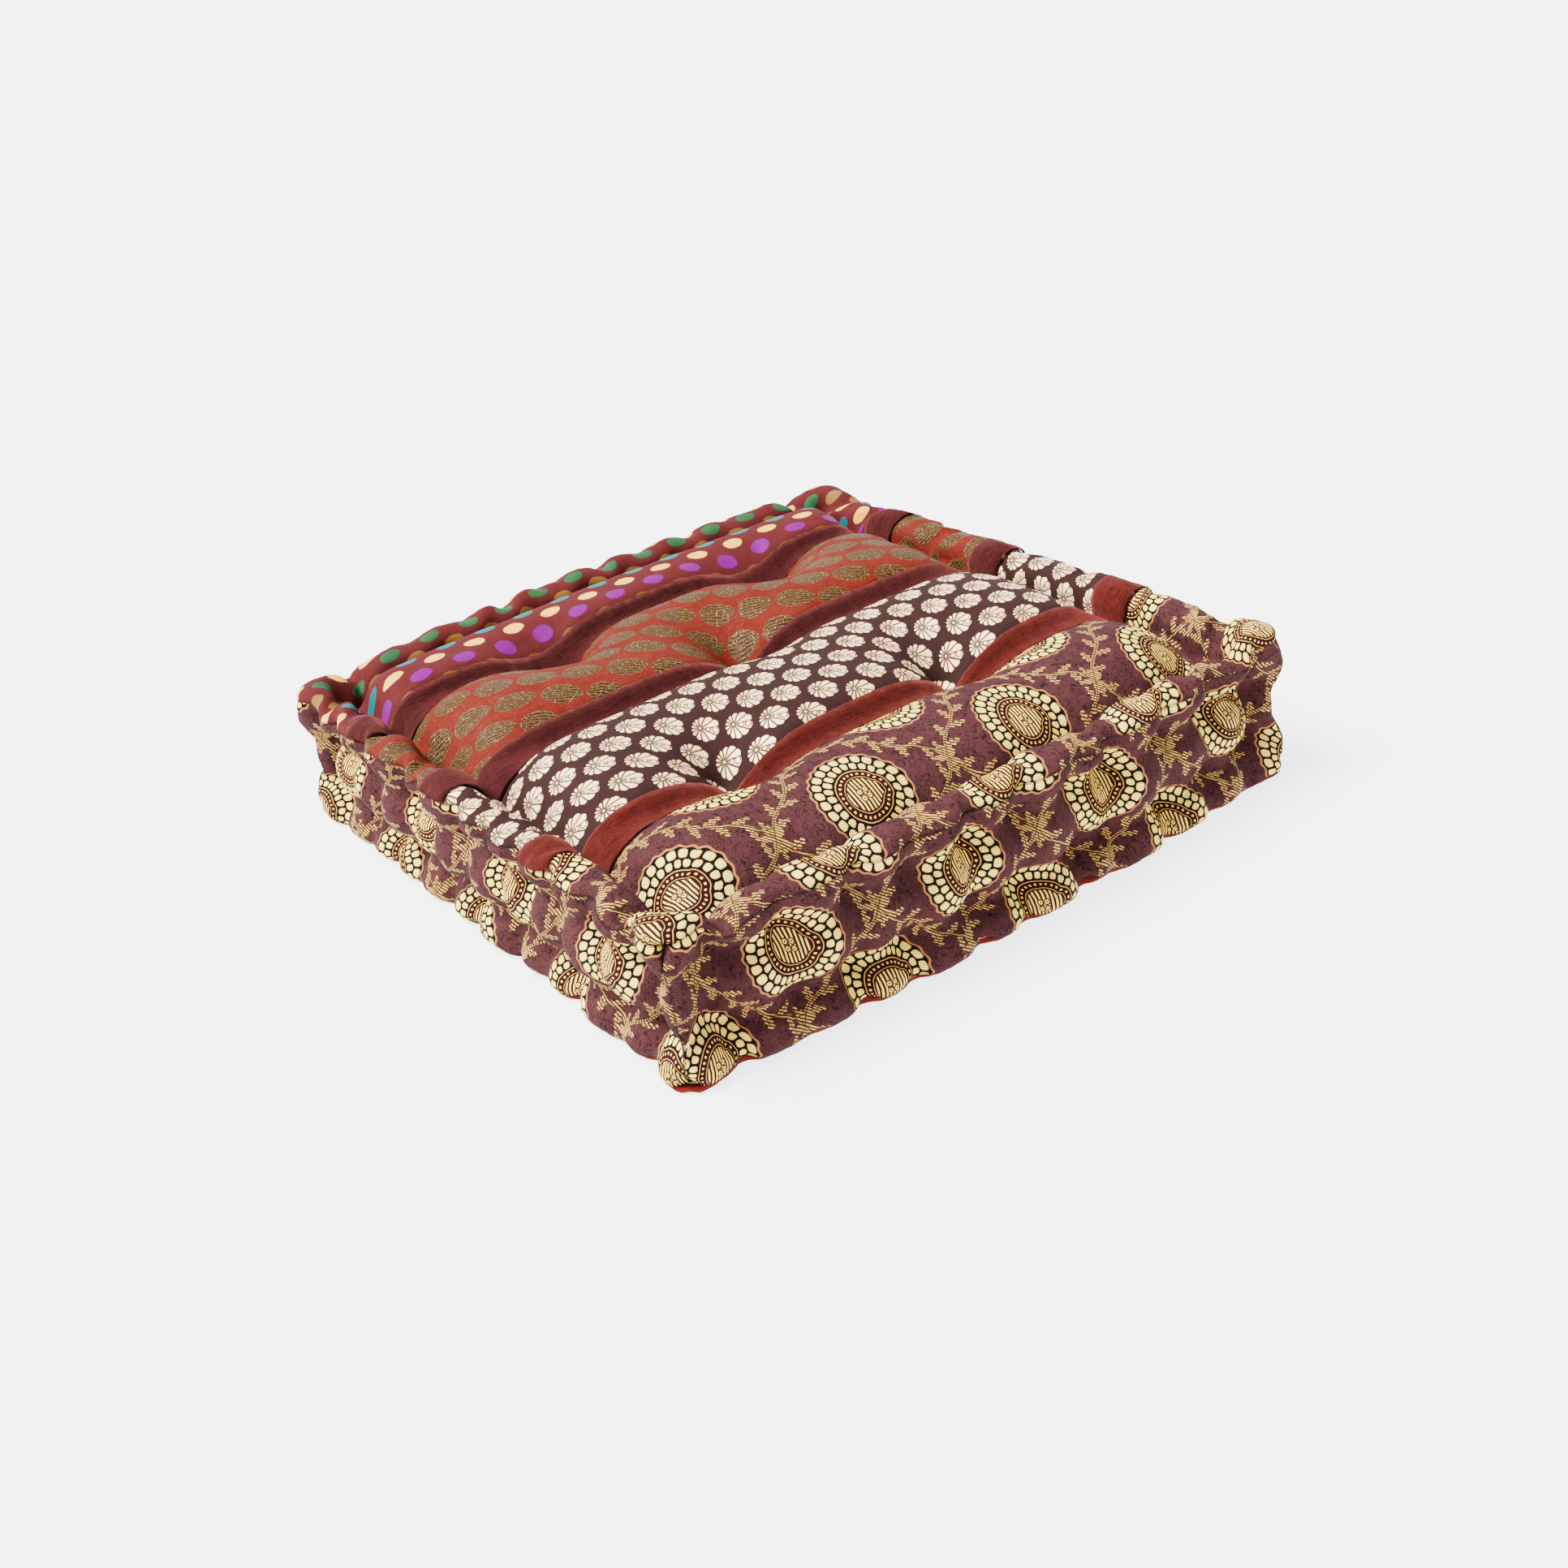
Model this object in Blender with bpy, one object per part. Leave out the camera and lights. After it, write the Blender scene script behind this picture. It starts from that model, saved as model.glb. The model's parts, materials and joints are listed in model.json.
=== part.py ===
"""Square floor cushion, hand stuffed, with rolled edges, tufts and a top pieced from brocade strips and velvet ribbons.

Frame: origin at the centre of the underside, +Z up, +X along the ribbons, -Y towards the medallion strip.
"""

import math

import bmesh
import bpy
from mathutils import Matrix, Vector

# Driving dimensions, in metres.
SIDE = 0.400                # width and depth over the edge rolls
HEIGHT = 0.083              # floor to the top of the edge rolls
CROWN = 0.004               # how far the stuffed top stands above the rolls
ROLL_DIAMETER = 0.024       # stuffed edge rolls
FABRIC = 0.0012             # brocade and lining together
RIBBON_WIDTH = 0.025
RIBBON_THICKNESS = 0.0015
BOXING_BULGE = 0.008        # how far the sides swell past the rolls' centre line
TWINE_DIAMETER = 0.0012     # hem stitching
TIE_DIAMETER = 0.0016       # tuft ties
KNOT_DIAMETER = 0.0044
KNOT_HEIGHT = 0.0028
TUFT_DEPTH = 0.020          # pit in the top at each tuft
UNDER_TUFT_DEPTH = 0.008    # pit in the underside, which hides the lower knot
TUFT_REACH = 0.046          # radius over which a tuft pulls the top down
GROOVE_DEPTH = 0.014        # top of the roll down to the stitched seam beside it
UNDER_GROOVE_DEPTH = 0.006
SHOULDER = 0.026            # width of the slope from the seam to the full height
SEAM_MARGIN = 0.0024        # flat margin of a panel at its stitched seam
CLEARANCE = 0.0003          # between pieces that touch side by side
LAYER_GAP = 0.0004          # between pieces that lie on each other
TUFT_TO_RIBBON = 0.0030     # from a tuft to the edge of the ribbon beside it

# The three seams across the top, and the tufts along them, as shares of the side.
SEAM_SHARES = (0.268, 0.540, 0.795)
TUFTS = (                   # share along +X, seam that it lies beside, side of that seam
    (0.325, 2, -1),
    (0.705, 2, -1),
    (0.515, 1, +1),
    (0.295, 0, +1),
    (0.665, 0, +1),
)

GRID_SPACING = 0.019        # widest mesh cell on the top and the underside
BAND_LEVELS = 5             # mesh rows up the swollen side
ROLL_SIDES = 12
TWINE_SIDES = 6
TIE_SIDES = 10

ROLL_RADIUS = ROLL_DIAMETER / 2
ROLL_LINE = SIDE / 2 - ROLL_RADIUS                  # centre line of every roll
INNER = ROLL_LINE - ROLL_RADIUS - CLEARANCE         # where the panels end beside the rolls
TOP_SEAM = HEIGHT - GROOVE_DEPTH                    # height of the top panels' edge
SEAMS = tuple((share - 0.5) * SIDE for share in SEAM_SHARES)
BAND_LOW = ROLL_DIAMETER + CLEARANCE                # the boxing shows between these heights
BAND_HIGH = HEIGHT - BAND_LOW

COLOURS = {
    "medallion_brocade": (0.36, 0.20, 0.15),
    "rosette_brocade": (0.42, 0.29, 0.28),
    "leaf_brocade": (0.42, 0.20, 0.09),
    "dotted_brocade": (0.30, 0.10, 0.08),
    "velvet_ribbon": (0.13, 0.02, 0.02),
    "red_cotton": (0.25, 0.02, 0.02),
    "cotton_filling": (0.78, 0.74, 0.66),
    "cotton_twine": (0.30, 0.16, 0.10),
}
ROUGHNESS = {"velvet_ribbon": 0.95, "red_cotton": 0.9, "cotton_filling": 1.0, "cotton_twine": 0.85}


def smooth(share):
    """Smooth step from 0 to 1."""
    share = min(1.0, max(0.0, share))
    return share * share * (3 - 2 * share)


def tuft_places():
    """Centre of each tuft, in plan."""
    reach = RIBBON_WIDTH / 2 + TUFT_TO_RIBBON
    return [((along - 0.5) * SIDE, SEAMS[seam] + side * reach) for along, seam, side in TUFTS]


def fullness(x, y):
    """0 at the stitched seam beside the rolls, 1 where the panel reaches its full height."""
    inset = INNER - SEAM_MARGIN - max(abs(x), abs(y))
    return smooth(inset / SHOULDER)


def pull(x, y):
    """1 at a tuft, fading to 0 at its reach."""
    nearest = min(math.hypot(x - tx, y - ty) for tx, ty in tuft_places())
    return 1 - smooth(nearest / TUFT_REACH)


def top_surface(x, y):
    """Height of the top strips' outer face."""
    full = HEIGHT + CROWN
    return TOP_SEAM + (full - TOP_SEAM) * fullness(x, y) - TUFT_DEPTH * pull(x, y)


def under_surface(x, y):
    """Height of the bottom panel's outer face."""
    return UNDER_GROOVE_DEPTH * (1 - fullness(x, y)) + UNDER_TUFT_DEPTH * pull(x, y)


def side_line(z):
    """Distance of the boxing's outer face from the centre, at a height between the rolls."""
    share = (z - BAND_LOW) / (BAND_HIGH - BAND_LOW)
    return ROLL_LINE + FABRIC / 2 + BOXING_BULGE * math.sin(math.pi * min(1.0, max(0.0, share)))


def band_heights():
    """Heights of the mesh rows up the side."""
    step = (BAND_HIGH - BAND_LOW) / BAND_LEVELS
    return [BAND_LOW + i * step for i in range(BAND_LEVELS + 1)]


def lines(fixed):
    """The fixed places in order, with enough between them that no cell is wider than GRID_SPACING."""
    fixed = sorted(set(fixed))
    places = fixed[:1]
    for start, end in zip(fixed, fixed[1:]):
        parts = math.ceil((end - start) / GRID_SPACING)
        places += [start + (end - start) * (i + 1) / parts for i in range(parts)]
    return places


def border_lines(inner):
    """Places where a panel's slope starts and ends, on both sides."""
    return [side * (inner - inset) for side in (-1, 1)
            for inset in (0, SEAM_MARGIN, SEAM_MARGIN + SHOULDER / 2, SEAM_MARGIN + SHOULDER)]


def grid_lines():
    """Mesh lines along X and along Y that the top, the filling and the underside share."""
    edges = [seam + side * RIBBON_WIDTH / 2 for seam in SEAMS for side in (-1, 1)]
    tufts = tuft_places()
    along_x = lines(border_lines(INNER) + [x for x, _ in tufts])
    along_y = lines(border_lines(INNER) + list(SEAMS) + edges + [y for _, y in tufts])
    return along_x, along_y


def material(slot):
    """One material per slot."""
    found = bpy.data.materials.get(slot)
    if found:
        return found
    made = bpy.data.materials.new(slot)
    made.use_nodes = True
    shader = made.node_tree.nodes["Principled BSDF"]
    shader.inputs["Base Color"].default_value = (*COLOURS[slot], 1)
    shader.inputs["Roughness"].default_value = ROUGHNESS.get(slot, 0.75)
    shader.inputs["Metallic"].default_value = 0.0
    made.diffuse_color = (*COLOURS[slot], 1)
    return made


def add_object(name, bm, slot, round_piece=False):
    """A new object from a bmesh, with its own material. Layers of one grid are split alike."""
    bmesh.ops.triangulate(bm, faces=bm.faces, quad_method="SHORT_EDGE")
    bmesh.ops.recalc_face_normals(bm, faces=bm.faces)
    mesh = bpy.data.meshes.new(name)
    bm.to_mesh(mesh)
    bm.free()
    if round_piece:
        mesh.shade_smooth()
        mesh.set_sharp_from_angle(angle=math.radians(40))
    mesh.materials.append(material(slot))
    piece = bpy.data.objects.new(name, mesh)
    bpy.context.scene.collection.objects.link(piece)
    return piece


def grid_sheet(along_x, along_y, height):
    """An open sheet over the given mesh lines, at height(x, y)."""
    bm = bmesh.new()
    bmesh.ops.create_grid(bm, x_segments=len(along_x) - 1, y_segments=len(along_y) - 1, size=1)
    for vertex in bm.verts:
        column = round((vertex.co.x + 1) / 2 * (len(along_x) - 1))
        row = round((vertex.co.y + 1) / 2 * (len(along_y) - 1))
        x, y = along_x[column], along_y[row]
        vertex.co = (x, y, height(x, y))
    return bm


def extrude(bm, faces):
    """Extrudes the faces as one region, with nothing left inside. Returns the new geometry."""
    edges = list({edge for face in faces for edge in face.edges})
    return bmesh.ops.extrude_face_region(bm, geom=faces + edges)["geom"]


def raise_sheet(bm, faces, height):
    """Extrudes the faces and puts the new ones at height(x, y). Returns the new faces."""
    made = extrude(bm, faces)
    for item in made:
        if isinstance(item, bmesh.types.BMVert):
            item.co.z = height(item.co.x, item.co.y)
    return [item for item in made if isinstance(item, bmesh.types.BMFace)]


def layer(name, along_x, along_y, low, high, slot):
    """A closed cloth layer between two heights."""
    bm = grid_sheet(along_x, along_y, low)
    raise_sheet(bm, bm.faces[:], high)
    return add_object(name, bm, slot, round_piece=True)


def cut(piece, cutter):
    """Leaves room in a piece for the ties that pass through it."""
    boolean = piece.modifiers.new("tie_holes", "BOOLEAN")
    boolean.operation = "DIFFERENCE"
    boolean.solver = "EXACT"
    boolean.object = cutter


def top_strips(along_x, along_y, ties_room):
    """The four strips of the top, which meet under the ribbons."""
    slots = ("medallion_brocade", "rosette_brocade", "leaf_brocade", "dotted_brocade")
    limits = [-INNER, *SEAMS, INNER]
    for i, slot in enumerate(slots):
        start = limits[i] + (CLEARANCE / 2 if i > 0 else 0)
        end = limits[i + 1] - (CLEARANCE / 2 if i < len(slots) - 1 else 0)
        rows = [start] + [y for y in along_y if start + 1e-4 < y < end - 1e-4] + [end]
        strip = layer("top_strip_" + slot.split("_")[0], along_x, rows,
                      lambda x, y: top_surface(x, y) - FABRIC, top_surface, slot)
        if any(start < y < end for _, y in tuft_places()):
            cut(strip, ties_room)


def ribbons(along_x, along_y):
    """The velvet ribbons that cover the three seams, clear of the stitching at both ends."""
    end = stitching_line() - TWINE_DIAMETER / 2 - CLEARANCE
    columns = [-end] + [x for x in along_x if abs(x) < end - 1e-4] + [end]
    for name, seam in zip(("front", "middle", "back"), SEAMS):
        reach = RIBBON_WIDTH / 2 + 1e-5
        rows = [y for y in along_y if abs(y - seam) < reach]
        layer("velvet_ribbon_" + name, columns, rows,
              lambda x, y: top_surface(x, y) + LAYER_GAP,
              lambda x, y: top_surface(x, y) + LAYER_GAP + RIBBON_THICKNESS, "velvet_ribbon")


def bottom_panel(along_x, along_y, ties_room):
    """The plain panel that the cushion rests on."""
    panel = layer("bottom_panel", along_x, along_y, under_surface,
                  lambda x, y: under_surface(x, y) + FABRIC, "red_cotton")
    cut(panel, ties_room)


def filling(along_x, along_y, ties_room):
    """The pressed block of cotton: full under the top, and swollen outwards between the rolls."""
    skin = FABRIC + LAYER_GAP
    bm = grid_sheet(along_x, along_y, lambda x, y: under_surface(x, y) + skin)
    rows = band_heights()
    rows[0] += LAYER_GAP
    rows[-1] -= LAYER_GAP
    faces = bm.faces[:]
    for z in rows:
        faces = raise_sheet(bm, faces, lambda x, y, z=z: z)
    raise_sheet(bm, faces, lambda x, y: top_surface(x, y) - skin)
    bmesh.ops.recalc_face_normals(bm, faces=bm.faces)
    for axis, sign in ((0, -1), (0, 1), (1, -1), (1, 1)):
        side = [f for f in bm.faces if f.normal[axis] * sign > 0.9
                and rows[0] < f.calc_center_median().z < rows[-1]
                and abs(f.calc_center_median()[1 - axis]) < INNER]
        for item in extrude(bm, side):
            if isinstance(item, bmesh.types.BMVert):
                item.co[axis] = sign * (side_line(item.co.z) - skin)
    cut(add_object("cotton_filling", bm, "cotton_filling"), ties_room)


def turned(profile, places, sides):
    """Solids turned about upright axes. The profile runs from one end of the axis to the other."""
    bm = bmesh.new()
    for x, y in places:
        verts = [bm.verts.new((x + radius, y, z)) for radius, z in profile(x, y)]
        edges = [bm.edges.new(pair) for pair in zip(verts, verts[1:])]
        bmesh.ops.spin(bm, geom=verts + edges, cent=(x, y, 0), axis=(0, 0, 1),
                       angle=2 * math.pi, steps=sides, use_merge=True)
    bmesh.ops.remove_doubles(bm, verts=bm.verts, dist=1e-6)
    return bm


def tie_profile(x, y, room=0.0):
    """Outline of a tuft tie with its two knots, grown by room on every side."""
    low = under_surface(x, y) - LAYER_GAP
    high = top_surface(x, y) + LAYER_GAP
    shaft = TIE_DIAMETER / 2 + room
    knot = KNOT_DIAMETER / 2 + room
    low_end, low_top = low - KNOT_HEIGHT - room, low + room
    high_end, high_low = high + KNOT_HEIGHT + room, high - room
    return [
        (0, low_end), (knot * 0.7, low_end), (knot, low_end + KNOT_HEIGHT / 3), (knot * 0.8, low_top),
        (shaft, low_top), (shaft, high_low),
        (knot * 0.8, high_low), (knot, high_end - KNOT_HEIGHT / 3), (knot * 0.7, high_end), (0, high_end),
    ]


def room_for_ties():
    """The shape that every layer is cut with, so that the ties pass through it."""
    bm = turned(lambda x, y: tie_profile(x, y, CLEARANCE), tuft_places(), TIE_SIDES)
    room = add_object("room_for_ties", bm, "cotton_twine")
    room.hide_render = True
    room.display_type = "WIRE"
    return room


def tuft_ties():
    """Twine through the whole cushion at each tuft."""
    for number, place in enumerate(tuft_places(), 1):
        add_object(f"tuft_tie_{number}", turned(tie_profile, [place], TIE_SIDES), "cotton_twine",
                   round_piece=True)


def boxing():
    """The four side panels, swollen between the rolls."""
    rows = band_heights()
    for name, turn in (("front", 0), ("right", 90), ("back", 180), ("left", 270)):
        bm = bmesh.new()
        outer = [bm.verts.new((-INNER, -side_line(z), z)) for z in rows]
        inner = [bm.verts.new((-INNER, FABRIC - side_line(z), z)) for z in reversed(rows)]
        profile = bm.faces.new(outer + inner)
        moved = [item for item in extrude(bm, [profile]) if isinstance(item, bmesh.types.BMVert)]
        bmesh.ops.translate(bm, verts=moved, vec=(2 * INNER, 0, 0))
        bmesh.ops.rotate(bm, verts=bm.verts, matrix=Matrix.Rotation(math.radians(turn), 3, "Z"))
        add_object("boxing_" + name, bm, "medallion_brocade", round_piece=True)


def rod(name, start, end, radius, sides, slot):
    """A straight round piece between two points."""
    start, end = Vector(start), Vector(end)
    along = end - start
    bm = bmesh.new()
    bmesh.ops.create_cone(bm, cap_ends=True, segments=sides, radius1=radius, radius2=radius,
                          depth=along.length)
    turn = along.to_track_quat("Z", "Y").to_matrix().to_4x4()
    bmesh.ops.transform(bm, verts=bm.verts, matrix=Matrix.Translation((start + end) / 2) @ turn)
    return add_object(name, bm, slot, round_piece=True)


def around(name, offset, height, radius, sides, slot):
    """Four level rods, one along each side, that end short of the rods or posts across their ends."""
    reach = offset - radius - CLEARANCE
    for side, turn in (("front", 0), ("right", 90), ("back", 180), ("left", 270)):
        rotate = Matrix.Rotation(math.radians(turn), 3, "Z")
        start = rotate @ Vector((-reach, -offset, height))
        end = rotate @ Vector((reach, -offset, height))
        rod(f"{name}_{side}", start, end, radius, sides, slot(side))


def corners(name, offset, low, high, radius, sides, slot):
    """Four upright rods, one at each corner."""
    for side, sx, sy in (("front_left", -1, -1), ("front_right", 1, -1),
                         ("back_right", 1, 1), ("back_left", -1, 1)):
        rod(f"{name}_{side}", (sx * offset, sy * offset, low), (sx * offset, sy * offset, high),
            radius, sides, slot)


def stitching_line():
    """Distance of the top stitching from the centre: in the groove, against the roll."""
    drop = TOP_SEAM + LAYER_GAP + TWINE_DIAMETER / 2 - (HEIGHT - ROLL_RADIUS)
    reach = ROLL_RADIUS + TWINE_DIAMETER / 2 + CLEARANCE
    return ROLL_LINE - math.sqrt(reach * reach - drop * drop)


def edge_rolls():
    """Stuffed rolls along all twelve edges; the level ones butt against the upright ones."""
    fabric = {"back": "dotted_brocade"}
    around("roll_top", ROLL_LINE, HEIGHT - ROLL_RADIUS, ROLL_RADIUS, ROLL_SIDES,
           lambda side: fabric.get(side, "medallion_brocade"))
    around("roll_bottom", ROLL_LINE, ROLL_RADIUS, ROLL_RADIUS, ROLL_SIDES,
           lambda side: "medallion_brocade")
    corners("roll_corner", ROLL_LINE, 0, HEIGHT, ROLL_RADIUS, ROLL_SIDES, "medallion_brocade")


def hem_stitching():
    """Runs of twine in the grooves beside the rolls."""
    radius = TWINE_DIAMETER / 2
    around("stitching_top", stitching_line(), TOP_SEAM + LAYER_GAP + radius, radius, TWINE_SIDES,
           lambda side: "cotton_twine")
    under = UNDER_GROOVE_DEPTH - LAYER_GAP - radius
    reach = ROLL_RADIUS + radius + CLEARANCE
    offset = ROLL_LINE - math.sqrt(reach * reach - (ROLL_RADIUS - under) ** 2)
    around("stitching_bottom", offset, under, radius, TWINE_SIDES, lambda side: "cotton_twine")
    corners("stitching_corner", ROLL_LINE - reach / math.sqrt(2), BAND_LOW, BAND_HIGH, radius,
            TWINE_SIDES, "cotton_twine")


def build():
    for old in list(bpy.data.objects):
        bpy.data.objects.remove(old)
    along_x, along_y = grid_lines()
    ties_room = room_for_ties()
    top_strips(along_x, along_y, ties_room)
    ribbons(along_x, along_y)
    bottom_panel(along_x, along_y, ties_room)
    filling(along_x, along_y, ties_room)
    tuft_ties()
    boxing()
    edge_rolls()
    hem_stitching()


build()
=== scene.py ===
import json
import math

import bpy
import numpy as np
from mathutils import Matrix, Vector

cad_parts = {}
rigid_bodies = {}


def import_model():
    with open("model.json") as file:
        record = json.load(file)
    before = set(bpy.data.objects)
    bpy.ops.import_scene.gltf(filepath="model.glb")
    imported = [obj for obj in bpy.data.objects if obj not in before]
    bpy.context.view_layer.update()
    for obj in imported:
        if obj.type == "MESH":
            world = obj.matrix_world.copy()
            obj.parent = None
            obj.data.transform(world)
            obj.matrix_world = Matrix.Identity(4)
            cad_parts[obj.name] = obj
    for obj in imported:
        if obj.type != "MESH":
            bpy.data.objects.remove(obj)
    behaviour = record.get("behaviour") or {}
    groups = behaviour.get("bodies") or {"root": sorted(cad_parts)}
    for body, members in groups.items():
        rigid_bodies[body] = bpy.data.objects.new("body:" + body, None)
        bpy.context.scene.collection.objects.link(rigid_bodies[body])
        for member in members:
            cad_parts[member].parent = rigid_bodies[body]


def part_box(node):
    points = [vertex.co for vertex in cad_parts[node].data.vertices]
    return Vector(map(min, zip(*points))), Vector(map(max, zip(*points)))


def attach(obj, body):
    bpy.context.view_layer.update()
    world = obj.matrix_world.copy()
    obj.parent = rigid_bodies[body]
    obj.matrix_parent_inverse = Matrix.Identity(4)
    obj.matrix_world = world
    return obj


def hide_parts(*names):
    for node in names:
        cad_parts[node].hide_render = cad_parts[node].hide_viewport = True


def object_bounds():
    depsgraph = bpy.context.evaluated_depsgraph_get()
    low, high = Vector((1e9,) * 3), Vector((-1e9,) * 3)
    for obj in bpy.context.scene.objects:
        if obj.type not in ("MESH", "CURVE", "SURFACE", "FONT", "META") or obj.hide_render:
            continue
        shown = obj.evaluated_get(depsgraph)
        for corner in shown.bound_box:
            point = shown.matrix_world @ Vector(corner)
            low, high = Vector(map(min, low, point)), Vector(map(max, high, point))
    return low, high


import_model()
cad_low, cad_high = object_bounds()

# Sizes read from the frame.
roll_low, roll_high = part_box("roll_top_front")
SIDE = cad_high.x - cad_low.x
HEIGHT = roll_high.z                            # floor to the top of the edge rolls
ROLL = (roll_high.z - roll_low.z) / 2           # radius of an edge roll
TIES = [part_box(f"tuft_tie_{i}") for i in range(1, 6)]
TUFTS = [tuple((low.xy + high.xy) / 2) for low, high in TIES]
RIBBONS = {n: tuple(v.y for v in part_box("velvet_ribbon_" + n)) for n in ("front", "middle", "back")}
SEAMS = [(low + high) / 2 for low, high in RIBBONS.values()]
RIBBON_HALF = (RIBBONS["front"][1] - RIBBONS["front"][0]) / 2

# The sewn cover before it is stitched.
CELL = 0.0047                                   # spacing of the mesh that is relaxed
FINER = 3                                       # parts that each cell of the finished cloth is cut into
SHOULDER = 0.013                                # slope from the stitched groove to the full height
CUT_HALF = 0.212                                # half of the top's cut size, roll margins included
CUT_RISE = 0.082                                # height of the side panels as cut
FULL_TOP = 1.045                                # cloth in the top for each length of the box
FULL_SIDE = 1.035
ROLL_EXTRA = 0.07                               # more cloth in the edge rolls, taken up by their pinches
ROLL_BAND = 0.036                               # from a seam to where that extra cloth ends
BACK_SWELL = 0.12                               # more cloth in the swell behind the back ribbon
SWELL_START = 0.010                             # from the middle of the ribbon to the swell
SWELL_FADE = 0.006
SWELL_INSET = 0.035                             # from the seams at the rolls to the swell
BOW = 0.013                                     # how far the front and back swell out in their middle
CORNER_FLAT = 0.010                             # from a corner to where the roll beside it begins
CORNER_FADE = 0.034                             # and over how much cloth it comes to its full size
FABRIC = 0.0009                                 # thickness of the cloth
TUFT_TOP = TIES[0][1].z - 0.010                 # how far a tie draws the top down
TUFT_UNDER = TIES[0][0].z + 0.002               # and the underside up
CORNER_TUCK = (0.035, 0.035, 0.12)              # share of the way to the middle that a corner is drawn in
UNDER_TUCK = 0.03                               # the same, upwards, at a corner of the underside
BACK_LEFT_TUCK = 0.28                           # and at its back left corner, which is drawn up most
VALLEY = 0.004                                  # how far the ribbons lie below the swell of the strips

# The stitches that pinch the edge rolls.
STITCH_STEP = 0.037
FIRST_STITCH = 0.031
SIDE_DENT = 0.021                               # from a seam down the side panel to its stitches
CORNER_STITCHES = (-0.012, 0.013)               # heights of a corner roll's two, from its middle
CORNER_SPREAD = 0.002                           # how unevenly those are placed
STITCH_SPREAD = 0.18                            # and the others, as a share of their step
STITCH_PULL = (0.85, 1.2)                       # weakest and strongest pull of a stitch
STITCH_REACH = 0.020                            # how far round it a stitch dents the cloth
TUFT_REACH = {"top": 0.048, "bottom": 0.034}

# How far stitches draw the cloth in from the edge and down from the face, in roll radii.
STITCH_DEPTHS = {"top": (1.85, 2.1), "bottom": (1.7, 1.3)}
SIDE_DEPTHS = (1.75, 1.3)
BACK_TOP_DEPTHS = (1.75, 1.15)

# The relaxation.
SEED = 7
STEPS = 150
PASSES = 3                                      # times that the threads are tightened in a step
PUSH = 0.00012                                  # how far the stuffing pushes the cloth in a step
PUSH_FADE = 0.6                                 # share of the push that is lost by the last step
THREAD_SHARE = 3.2                              # threads whose pull a point follows at once

# The cells that a thread joins, then how firmly it resists being stretched and being squeezed.
WEAVE = ((1, 0, 0.9, 0.16), (0, 1, 0.9, 0.16), (1, 1, 0.35, 0.08), (1, -1, 0.35, 0.08),
         (2, 0, 0.0, 0.22), (0, 2, 0.0, 0.22))

# Each side of the sewn box: its directions along p, along q and outwards, then the angle round the
# roll, from level, of its seams at -p, +p, -q and +q, and of the groove past each.
TOP_EDGES = ((20, 192),) * 4
UNDER_EDGES = ((45, 185),) * 4
SIDE_EDGES = ((45, 150), (45, 150), (45, 150), (70, 138))
FACES = {
    "top": ((1, 0, 0), (0, 1, 0), (0, 0, 1), TOP_EDGES),
    "bottom": ((1, 0, 0), (0, -1, 0), (0, 0, -1), UNDER_EDGES),
    "front": ((1, 0, 0), (0, 0, 1), (0, -1, 0), SIDE_EDGES),
    "right": ((0, 1, 0), (0, 0, 1), (1, 0, 0), SIDE_EDGES),
    "back": ((-1, 0, 0), (0, 0, 1), (0, 1, 0), SIDE_EDGES),
    "left": ((0, -1, 0), (0, 0, 1), (-1, 0, 0), SIDE_EDGES),
}
TOWARDS = {faces[2]: name for name, faces in FACES.items()}
SIDES = ("front", "right", "back", "left")
CORNERS = ((1, 1), (1, -1), (-1, 1), (-1, -1))
CELLS = {"x": round(2 * CUT_HALF / CELL), "z": round(CUT_RISE / CELL)}

# How firmly the sewing holds the cloth, as a share of the way back to its place in each pass: at the
# groove beside each seam of a face, under a ribbon, on the swell at the back, and at a corner.
GROOVE_HOLDS = {"top": (0.09,) * 4, "bottom": (0.14,) * 4, **dict.fromkeys(SIDES, (0.02, 0.02, 0.05, 0.0))}
RIBBON_HOLD = 0.10
SWELL_HOLD = 0.05
CORNER_HOLD = 0.3
SWELL_LIFT = 0.009                              # how far the swell at the back is held up
SWELL_GAPS = (0.022, 0.008, 0.045)              # from it to the ribbon's middle, the groove and the ends

# The ribbons, threads and seams.
RIBBON_THICK = 0.0013
RIBBON_POINTS = 11                              # mesh points across a ribbon's upper face
RIBBON_LAP = 0.002                              # from a ribbon's edge in to its stitching
RIBBON_PRESS = 0.0004                           # how far it presses the strips down
PILE = 0.00009                                  # how uneven its pile is
NAP = 0.00018                                   # how far its pile waves
FRAY = 0.00022                                  # how far its edges fray
TIE_RADIUS = 0.0008
TIE_TURNS = 18                                  # straight parts in each loop of a tie
STITCH_RADIUS = 0.0005
WADDING_INSET = 0.0022                          # from the cloth to the stuffing
SEAM_DIP, DIP_WIDTH = 0.0007, 0.0016
RIDGE, RIDGE_PLACE, RIDGE_WIDTH = 0.0007, 0.0042, 0.0022
PUCKER, PUCKER_START, PUCKER_END = 0.00022, 0.0025, 0.009

# A stitch's path: how far along the roll, and how far out of the cloth.
STITCH_SHAPE = ((-0.0030, -0.0015), (-0.0022, -0.0004), (-0.0010, 0.0001),
                (0.0010, 0.0001), (0.0022, -0.0004), (0.0030, -0.0015))

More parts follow.
